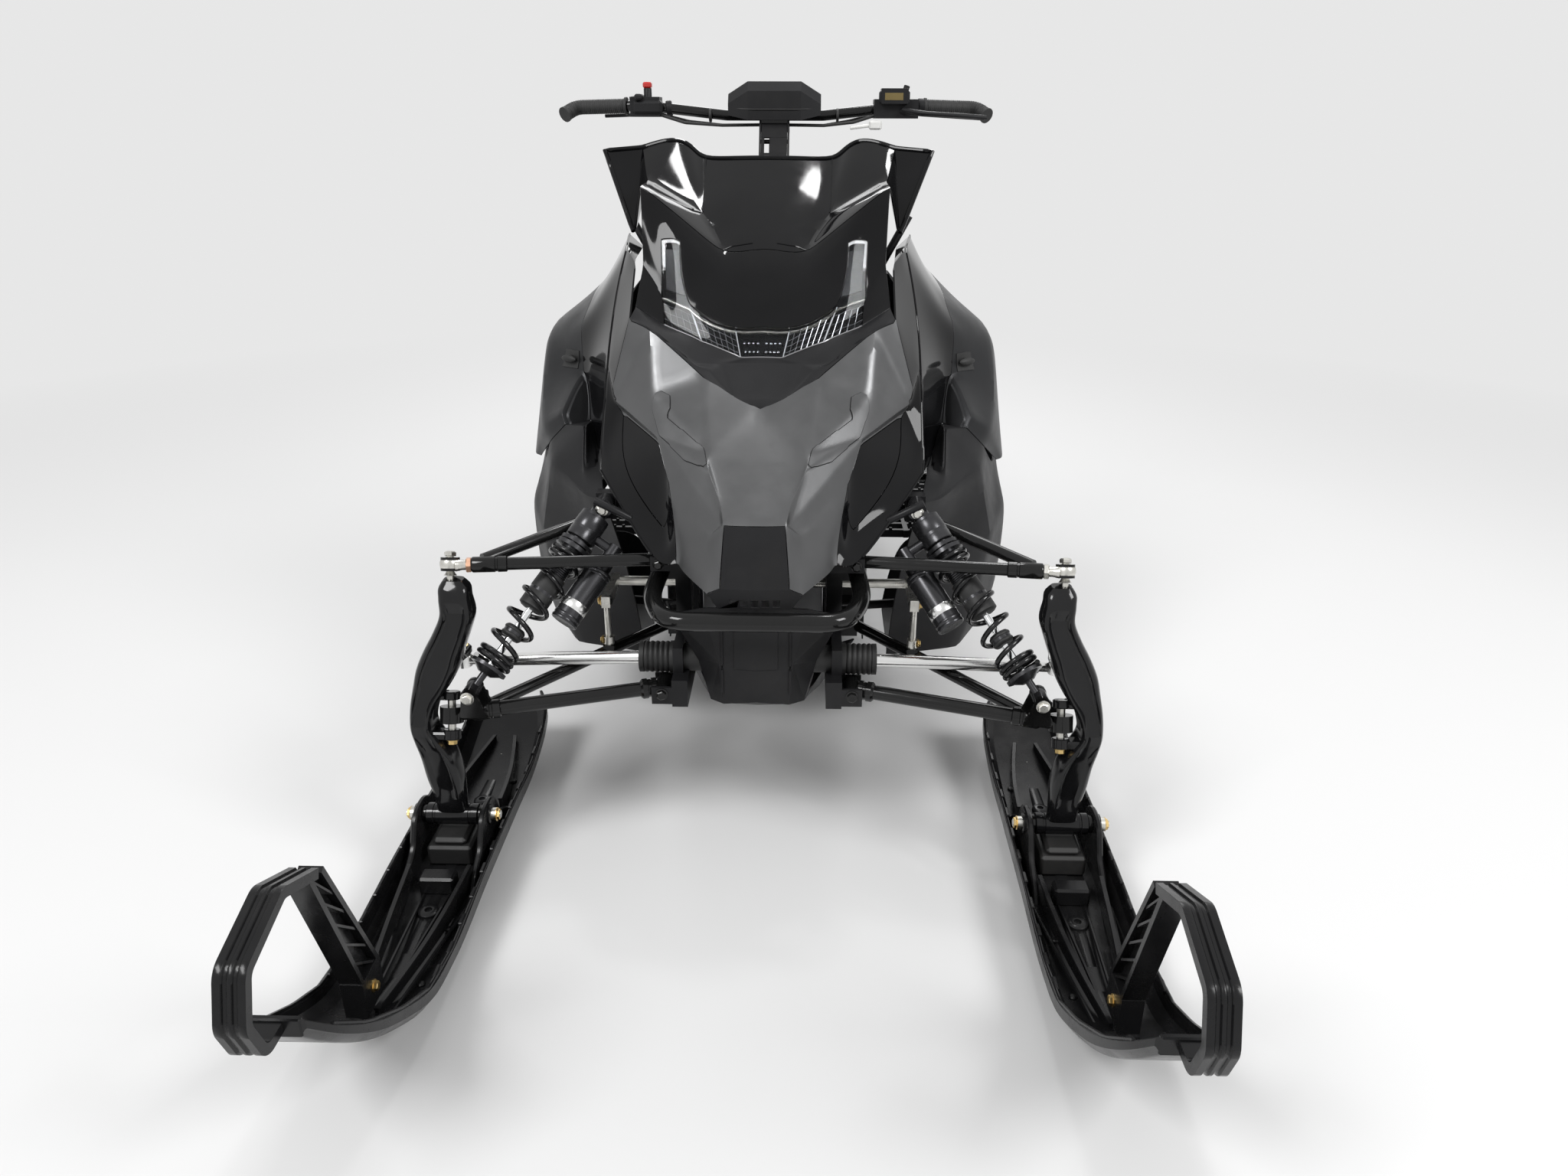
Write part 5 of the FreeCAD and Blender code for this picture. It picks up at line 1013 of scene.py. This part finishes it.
def steering_parts():
    """Grips with ribs, levers, switch, brake reservoir, riser plate and small parts on the bar."""
    body = "handlebar_body"
    y, z = POST_TOP

    def at(x, back, up):
        return (x, y + back, z + up)

    def box(x0, x1, y0, y1, z0, z1, edge):
        return block(x0, x1, y + y0, y + y1, z + z0, z + z1, edge)

    path = rounded([at(340, 26.3, 25.1), at(462, 39, 22), at(484, 10, 6)], 18, 10)
    far = np.linspace(0, lengths(path)[-1], GRIP_RINGS)
    grow = 1.0 + 0.035 * np.sin(far * 2 * np.pi / GRIP_PITCH)
    grow[:5] = 1.22
    grow[-4:] = 1.10
    grip = sweep(even(path, count=GRIP_RINGS), disc(15.6, 16), grow=grow)
    piece("ribbed_grips", both(grip), "grip_rubber", "rubber", body, instead="grips")
    piece("kill_switch", merge(box(-300, -280, 1, 19, 62, 75, 3), box(-296, -284, 5, 15, 56, 63, 1)),
          "kill_red", "dark_plastic", body, bevel=1.0)
    housings = (
        box(-326, -256, -14, 40, 6, 38, 7), box(-318, -300, -20, 30, 36, 50, 4),
        sweep(rounded([at(-318, 30, 8), at(-342, 62, 6), at(-400, 66, 4)], 16), disc(6, 10, 0.7)),
        turned([(-2, 18), (0, 20), (22, 20), (24, 18)], at(-330, 25, 26), (1, 0.05, 0.02), 20),
        turned([(0, 15), (2, 16.5), (12, 16.5), (14, 15)], at(-250, 19, 20), (1, 0.08, 0.1), 20),
        box(236, 304, -34, 12, 28, 60, 6), box(228, 322, -16, 38, 3, 37, 7),
        sweep(rounded([at(290, -30, 18), at(335, -66, 10), at(420, -62, 6), at(474, -44, 2)], 24),
              disc(7, 12, 0.75)),
        turned([(0, 16), (2, 18), (16, 18), (18, 16)], at(326, 25, 25), (1, 0.05, -0.02), 20),
        turned([(0, 7), (8, 7), (9, 5)], at(296, -4, 60), (0.3, 0, 1), 12))
    piece("control_housings", merge(*housings), "dark_plastic", body=body, bevel=1.2)
    piece("brake_window", box(246, 290, -36.5, -32, 36, 54, 2), "amber_window", "clear_lens", body)
    clip = merge(box(214, 244, -26, -8, -24, -4, 4), sweep([at(172, -22, -20), at(220, -18, -14)], disc(4.2, 10)))
    piece("cable_clip", clip, "white_clip", "bright_alloy", body, bevel=0.8)
    down = np.array((0, -math.sin(POST_TILT), -math.cos(POST_TILT)))
    back = np.array((0, math.cos(POST_TILT), -math.sin(POST_TILT)))

    def post(x, t, w=0.0):
        return at(0, 0, 0) + down * t + back * w + (x, 0, 0)

    side = ((18, -20), (18, 20), (150, 14), (168, 6), (168, -6), (150, -14))
    plates = [capped(np.array([[post(x, t, w) for t, w in side] for x in (s * 30, s * 34)])) for s in SIGNS]
    plates += [sweep([post(-32, t), post(32, t)], disc(5, 10)) for t in (150, 60)]
    for t0, t1, x0, x1 in ((24, 60, -29, 29), (100, 128, -29, 29), (60, 100, -29, -22), (60, 100, -10, 29)):
        ends = ((t0, x0), (t0, x1), (t1, x1), (t1, x0))
        plates.append(capped(np.array([[post(x, t, -w) for t, x in ends] for w in (13, 17)])))
    piece("riser_plates", merge(*plates), "frame_paint", body=body, bevel=0.8)
    clamp = [hexagon_bolt(at(s * 22, t * 14, 21), (0, 0, 1), 5, 4) for s in SIGNS for t in SIGNS]
    piece("clamp_bolts", merge(*clamp), "steel", body=body, soft=20.0)
    pad = sweep(rounded([at(-92, -28, 20), at(-58, -41, 18), at(58, -41, 18), at(92, -28, 20)], 14), disc(1.6, 6))
    ties = [turned([(0, 14), (1, 15), (5, 15), (6, 14)], at(x, 0.75, 6), (1, 0, 0), 14) for x in (-150, 140)]
    piece("pad_lines", merge(pad, *ties), "rubber", body=body)


def console_parts():
    """Filler cap, dash screen and knee pads on the cover behind the windscreen."""
    cap = turned([(-6, 40), (4, 40), (6, 38), (6, 34), (16, 33), (19, 30), (19, 12), (17, 10)],
                 (0, 1010, 848), (0, 0.12, 1), 32)
    piece("filler_cap", merge(cap, block(-30, 30, 1003, 1017, 862, 876, 4)), "dark_plastic", bevel=1.0)
    dash = np.array(((-82, 652, 1006), (82, 652, 1006), (70, 728, 980), (-70, 728, 980)), float)
    up = unit((0, 0.33, 0.94))
    glass = (dash - dash.mean(0)) * 0.86 + dash.mean(0)
    piece("dash_housing", capped(np.stack([dash - up * 10, dash + up * 10])), "dark_plastic", bevel=5.0)
    piece("dash_screen", capped(np.stack([glass + up * 8, glass + up * 11])), "dash_glass", "clear_lens", bevel=0.8)
    y, x, low, high = np.array(((650, 338, 700, 855), (760, 342, 702, 862), (860, 332, 700, 855),
                                (960, 262, 700, 836), (1050, 222, 700, 792)), float).T[..., None]
    t = np.linspace(0, 1, 7)
    bulge = np.where((t > 0) & (t < 1), 5.0, 0.0)
    grid = np.stack(np.broadcast_arrays(x - 12 + 12 * t + bulge, y, low + (high - low) * t), -1)
    piece("knee_pads", both(tray(grid, 12.0, np.array((-1.0, 0, 0)))), "dark_plastic", bevel=2.0)


def seat_outline(y):
    """Half widths at the foot and the shoulder, and the crown height, along the seat."""
    return [np.interp(y, SEAT_ROWS[:, 0], SEAT_ROWS[:, k]) for k in (1, 2, 3)]


def arc_end(far, length):
    """Quarter circle from nought at an end to one at the length."""
    return np.sqrt(1 - (1 - np.clip(far / length, 0.02, 1)) ** 2)


def seat_cover():
    """Seat skin: closed outlines along its length, each a flat foot, leaning sides, round shoulders and
    a crowned top, with the front rounded a little and the back falling in a long curve."""
    y = np.concatenate([[1134, 1137], np.linspace(1143, 1800, 60), [1810, 1817, 1822]])
    end = (arc_end(y - SEAT_FRONT, 30.0) * arc_end(SEAT_REAR - y, 110.0))[:, None]
    foot, top, crown = (row[:, None] for row in seat_outline(y))
    a = np.linspace(0, np.pi, 33)
    across = np.cos(a)
    high = np.sin(a) ** 0.55
    x = (foot + (top - foot) * high ** 3) * (np.sign(across) * np.abs(across) ** 0.60) * (0.84 + 0.16 * end)
    z = SEAT_BASE + (crown - SEAT_BASE) * high * (0.55 + 0.45 * end)
    x = np.concatenate([x, np.linspace(-1, 1, 9)[1:-1] * np.abs(x[:, :1])], 1)
    z = np.concatenate([z, np.full((len(y), 7), SEAT_BASE)], 1)
    return rings(x, y[:, None], z)


def seat_pan():
    """Plastic pan between the tunnel and the cushion, with a ledge along its top."""
    y = np.linspace(1134, 1822, 50)
    w = seat_outline(y)[0] * (0.84 + 0.16 * arc_end(np.minimum(y - SEAT_FRONT, SEAT_REAR - y), 30.0))
    half = ((w - 20, 575.6), (w - 10, 575.6), (w - 4, 600), (w + 2, SEAT_BASE - 8), (w + 3, SEAT_BASE - 2),
            (w - 4, SEAT_BASE + 4))
    piece("seat_pan", loft(y, half), "dark_plastic", bevel=1.0)


def pressed(obj):
    """Cloth inflated from inside, with each point's way held under the longest allowed."""
    scene = bpy.context.scene
    start = read(obj.data.vertices, "co", 3)
    cloth = obj.modifiers.new("cloth", "CLOTH")
    cloth.settings.use_pressure = True
    cloth.settings.uniform_pressure_force = SEAT_PUSH
    cloth.settings.effector_weights.gravity = 0.0
    cloth.settings.tension_stiffness = 15.0
    cloth.settings.compression_stiffness = 15.0
    cloth.point_cache.frame_end = PRESS_STEPS
    for step in range(1, PRESS_STEPS + 1):
        scene.frame_set(step)
    made = obj.evaluated_get(bpy.context.evaluated_depsgraph_get()).to_mesh()
    move = read(made.vertices, "co", 3) - start
    obj.modifiers.remove(cloth)
    scene.frame_set(1)
    far = np.linalg.norm(move, axis=1, keepdims=True)
    return start + move * np.minimum(1.0, SEAT_REACH * MM / np.maximum(far, 1e-9))


def seat():
    """Upholstered seat: cover shape, remeshed, inflated as cloth, then sewn grooves pressed in, each a
    bell of depth about its line."""
    obj = piece("seat_cover", seat_cover(), "seat_cover", soft=180.0)
    grain = obj.modifiers.new("grain", "REMESH")
    grain.mode = "VOXEL"
    grain.voxel_size = SEAT_GRAIN
    mesh = bpy.data.meshes.new_from_object(obj.evaluated_get(bpy.context.evaluated_depsgraph_get()))
    obj.modifiers.clear()
    obj.data = mesh
    mesh.vertices.foreach_set("co", pressed(obj).ravel())
    mesh.update()
    q = (read(mesh.vertices, "co", 3) - (0, BOLT_Y, 0)) / MM
    x, y, z = np.abs(q[:, 0]), q[:, 1], q[:, 2]
    _, wide, crown = seat_outline(y)

    def bell(far):
        return np.exp(-(far / SEAM_HALF) ** 2)

    across = sum(bell(y - at - lean * x) for at, lean in ((1330, -0.35), (1350, -0.35), (1590, 0.3), (1610, 0.3)))
    groove = (across * np.clip((z - 690) / 40, 0, 1) + bell(x - wide * 0.84) * (z > crown - 60)
              + bell(z - 672 - 0.03 * (y - 1130)) * (x > 80))
    q -= read(mesh.vertices, "normal", 3) * (np.clip(groove, 0, 1.2) * 4.5)[:, None]
    q[:, 2] = np.maximum(q[:, 2], SEAT_BASE - 1.0)
    q[:, 1] = np.clip(q[:, 1], 1126.5, 1836)
    mesh.vertices.foreach_set("co", place(q).ravel())
    mesh.polygons.foreach_set("use_smooth", np.ones(len(mesh.polygons), bool))
    mesh.update()
    if not mesh.materials:
        mesh.materials.append(FINISHES["seat_cover"])
    fine = obj.modifiers.new("fine", "SUBSURF")
    fine.levels = fine.render_levels = 1
    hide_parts("seat")
    seat_pan()


def rivets(places, way, r=5.0):
    """Low domed heads: four rings whose radius falls as they rise."""
    return [turned([(-1, r), (1.2, r * 0.9), (2.4, r * 0.5), (2.8, r * 0.15)], at, way, 8) for at in places]


def tunnel_parts():
    """Rivet rows, pressed ribs, axle bolts and edge strips of the tunnel, and its rear light."""
    w = TUNNEL_SIDE
    top = TUNNEL_TOP
    heads = []
    ribs = []
    for s in SIGNS:
        heads += rivets([(s * w, y, 555) for y in range(930, 2260, 95)], (s, 0, 0))
        heads += rivets([(s * 190, y, top) for y in range(1860, 2260, 80)], (0, 0, 1))
        heads += rivets([(s * w, y, 372) for y in range(930, 2040, 120)], (s, 0, 0))
        ribs += [sweep([(s * (w - 0.5), y, 392), (s * (w - 0.5), y + 60, 530)], disc(5, 8, 0.6))
                 for y in range(1000, 1960, 160)]
        ribs.append(sweep([(s * (w - 1), 900, top - 2), (s * (w - 1), 2258, top - 2)], disc(3.4, 8)))
    piece("tunnel_rivets", merge(*heads), "steel")
    piece("tunnel_ribs", merge(*ribs), "frame_paint")
    bolts = [hexagon_bolt((s * x, y, z), (s, 0, 0), *size) for x, size, places in (
        (w, (10, 8, 3), ((930, 350), (1560, 330), (650, 330))), (122, (8, 6), ((1180, 79), (1840, 83))))
        for s in SIGNS for y, z in places]
    piece("axle_bolts", merge(*bolts), "steel", soft=20.0)
    pads = [block(s * 190 - 16, s * 190 + 16, 1966, 2014, top - 0.5, top + 5, 2) for s in SIGNS]
    piece("bumper_feet", merge(*pads), "black_tube", bevel=0.8)
    feet = [cap_bolt((s * 190 + a * 10, 1990 + b * 16, top + 5), (0, 0, 1), 4.5, 3) for s in SIGNS
            for a in SIGNS for b in SIGNS]
    piece("bumper_foot_bolts", merge(*feet), "steel", soft=20.0)
    bars = [block(x - 1.2, x + 1.2, 2337, 2340.5, top + 84, top + 102, 0.4) for x in range(-44, 45, 11)]
    piece("tail_light_bars", merge(block(-54, 54, 2333, 2338.5, top + 82, top + 104, 2), *bars), "red_lens")
    flap = [sweep([(x, 2278, 545), (x * 1.02, 2331, 440), (x * 1.03, 2386.5, 306)], disc(3.5, 6))
            for x in (-150, -75, 0, 75, 150)]
    piece("flap_ribs", merge(*flap), "rubber")


def slide_parts():
    """Slider strips under the rails, wheel caps, and coils of seven turns about two lines."""
    strips = [block(s * 115 - 9, s * 115 + 9, 1085, 2050, 39.2, 47, 2) for s in SIGNS]
    piece("slider_strips", merge(*strips), "slider_plastic", "wheel_plastic")
    caps = [turned([(-2, 14), (3, 14), (5, 11), (5, 5)], (s * x, y, z), (s, 0, 0), 16)
            for y, z, x in ((2070, 139, 172), (1480, 101.4, 160), (1330, 101.4, 160)) for s in SIGNS]
    piece("wheel_caps", merge(*caps), "steel")
    coils = []
    a = np.linspace(0, 14 * np.pi, 98)[:, None]
    k = np.linspace(0.2, 0.85, 98)[:, None]
    across = np.array((1, 0, 0))
    for low, top, r in (((0, 1184, 81), (0, 933, 347), 30), ((0, 1330, 83), (0, 1556, 327), 33)):
        way = np.subtract(top, low, dtype=float)
        t = unit(way)
        line = low + way * k + (across * np.cos(a) + np.cross(t, across) * np.sin(a)) * r
        coils.append(sweep(line, disc(4.5, 6), up=t))
    piece("inner_springs", merge(*coils), "spring_black")


def board_teeth():
    """Raised grip teeth along the cross bars of the running boards."""
    teeth = [block(x - 4, x + 4, y - 4, y + 4, BOARD_TOP - 4, BOARD_TOP + 1.5, 1.5)
             for y in np.linspace(893, 2032, 26) for x in (235, 262, 289, 340, 366, 388)]
    piece("board_teeth", both(*teeth), "frame_paint")


def dress_nodes():
    """Each CAD node gets the finish of its slot, and those listed in NODE_EDGES get softened edges."""
    widths = {name: width for width, names in NODE_EDGES.items() for name in names.split()}
    for row in frame["record"]["subparts"]:
        obj = bpy.data.objects[row["node"]]
        obj.data.materials.clear()
        obj.data.materials.append(FINISHES[row["material_slot"]])
        if row["node"] in widths:
            soften(obj, widths[row["node"]], weld=True)


def stage():
    """Pale floor that turns to plain white far from the machine, and a white sky for camera and gloss."""
    s = FLOOR_HALF
    mesh = bpy.data.meshes.new("floor")
    mesh.from_pydata([(-s, -s, 0), (s, -s, 0), (s, s, 0), (-s, s, 0)], [], [(0, 1, 2, 3)])
    add("floor", mesh)
    mat = bpy.data.materials.new("pale_floor")
    mat.use_nodes = True
    mesh.materials.append(mat)
    tree = mat.node_tree
    shader = tree.nodes["Principled BSDF"]
    feed(tree, shader, {"Base Color": FLOOR_COLOUR, "Roughness": 0.6})
    far = output(tree, "VectorMath", {0: output(tree, "TexCoord", out="Object")}, "Value", operation="LENGTH")
    share = output(tree, "Math", {0: spread(tree, far, 0.0, 1.0, 2.2, 5.0), 1: seen_by(tree, "Camera", "Glossy")},
                   operation="MULTIPLY")
    glow = output(tree, "Emission", {"Color": SKY_COLOUR})
    blend_shaders(tree, share, shader.outputs["BSDF"], glow, "Material Output")
    world = bpy.data.worlds.new("studio")
    bpy.context.scene.world = world
    world.use_nodes = True
    tree = world.node_tree
    plain = output(tree, "Background", {"Color": AMBIENT_COLOUR, "Strength": AMBIENT_STRENGTH})
    white = output(tree, "Background", {"Color": SKY_COLOUR, "Strength": 1.0})
    blend_shaders(tree, seen_by(tree, "Camera", "Glossy", "Transmission"), plain, white, "World Output")


def lamp(name, at, aim, size, power, depth=None):
    """Square lamp, or an oblong one with a depth, turned to where it aims."""
    data = bpy.data.lights.new(name, "AREA")
    data.size = size
    if depth:
        data.shape = "RECTANGLE"
        data.size_y = depth
    data.energy = power
    obj = add(name, data)
    obj.location = at
    obj.rotation_euler = (Vector(aim) - Vector(at)).to_track_quat("-Z", "Y").to_euler()


def lamps():
    """Soft lamps from the front, both sides and the back, and a small one overhead for the gloss."""
    lamp("key", (-3.4, -4.2, 5.6), (0, 0, 0.6), 2.4, 300)
    lamp("fill", (4.0, -3.0, 4.2), (0, 0, 0.6), 2.0, 180)
    lamp("back", (0.0, 5.5, 5.0), (0, 0, 0.6), 3.5, 190)
    lamp("overhead", (0.48, 0.8, 4.0), (0, 0.2, 0.9), 0.6, 16, 0.25)


camera()
stage()
lamps()
finishes()
dress_nodes()
skin = Body()
body_panels(skin)
headlight(skin)
body_trim(skin)
belly_trim()
front_ends()
tow_bar()
knuckle_bolts()
dampers()
ski_shell()
ski_details()
spindles()
steering_parts()
console_parts()
seat()
tunnel_parts()
slide_parts()
board_teeth()
bpy.context.scene.view_settings.view_transform = "Standard"
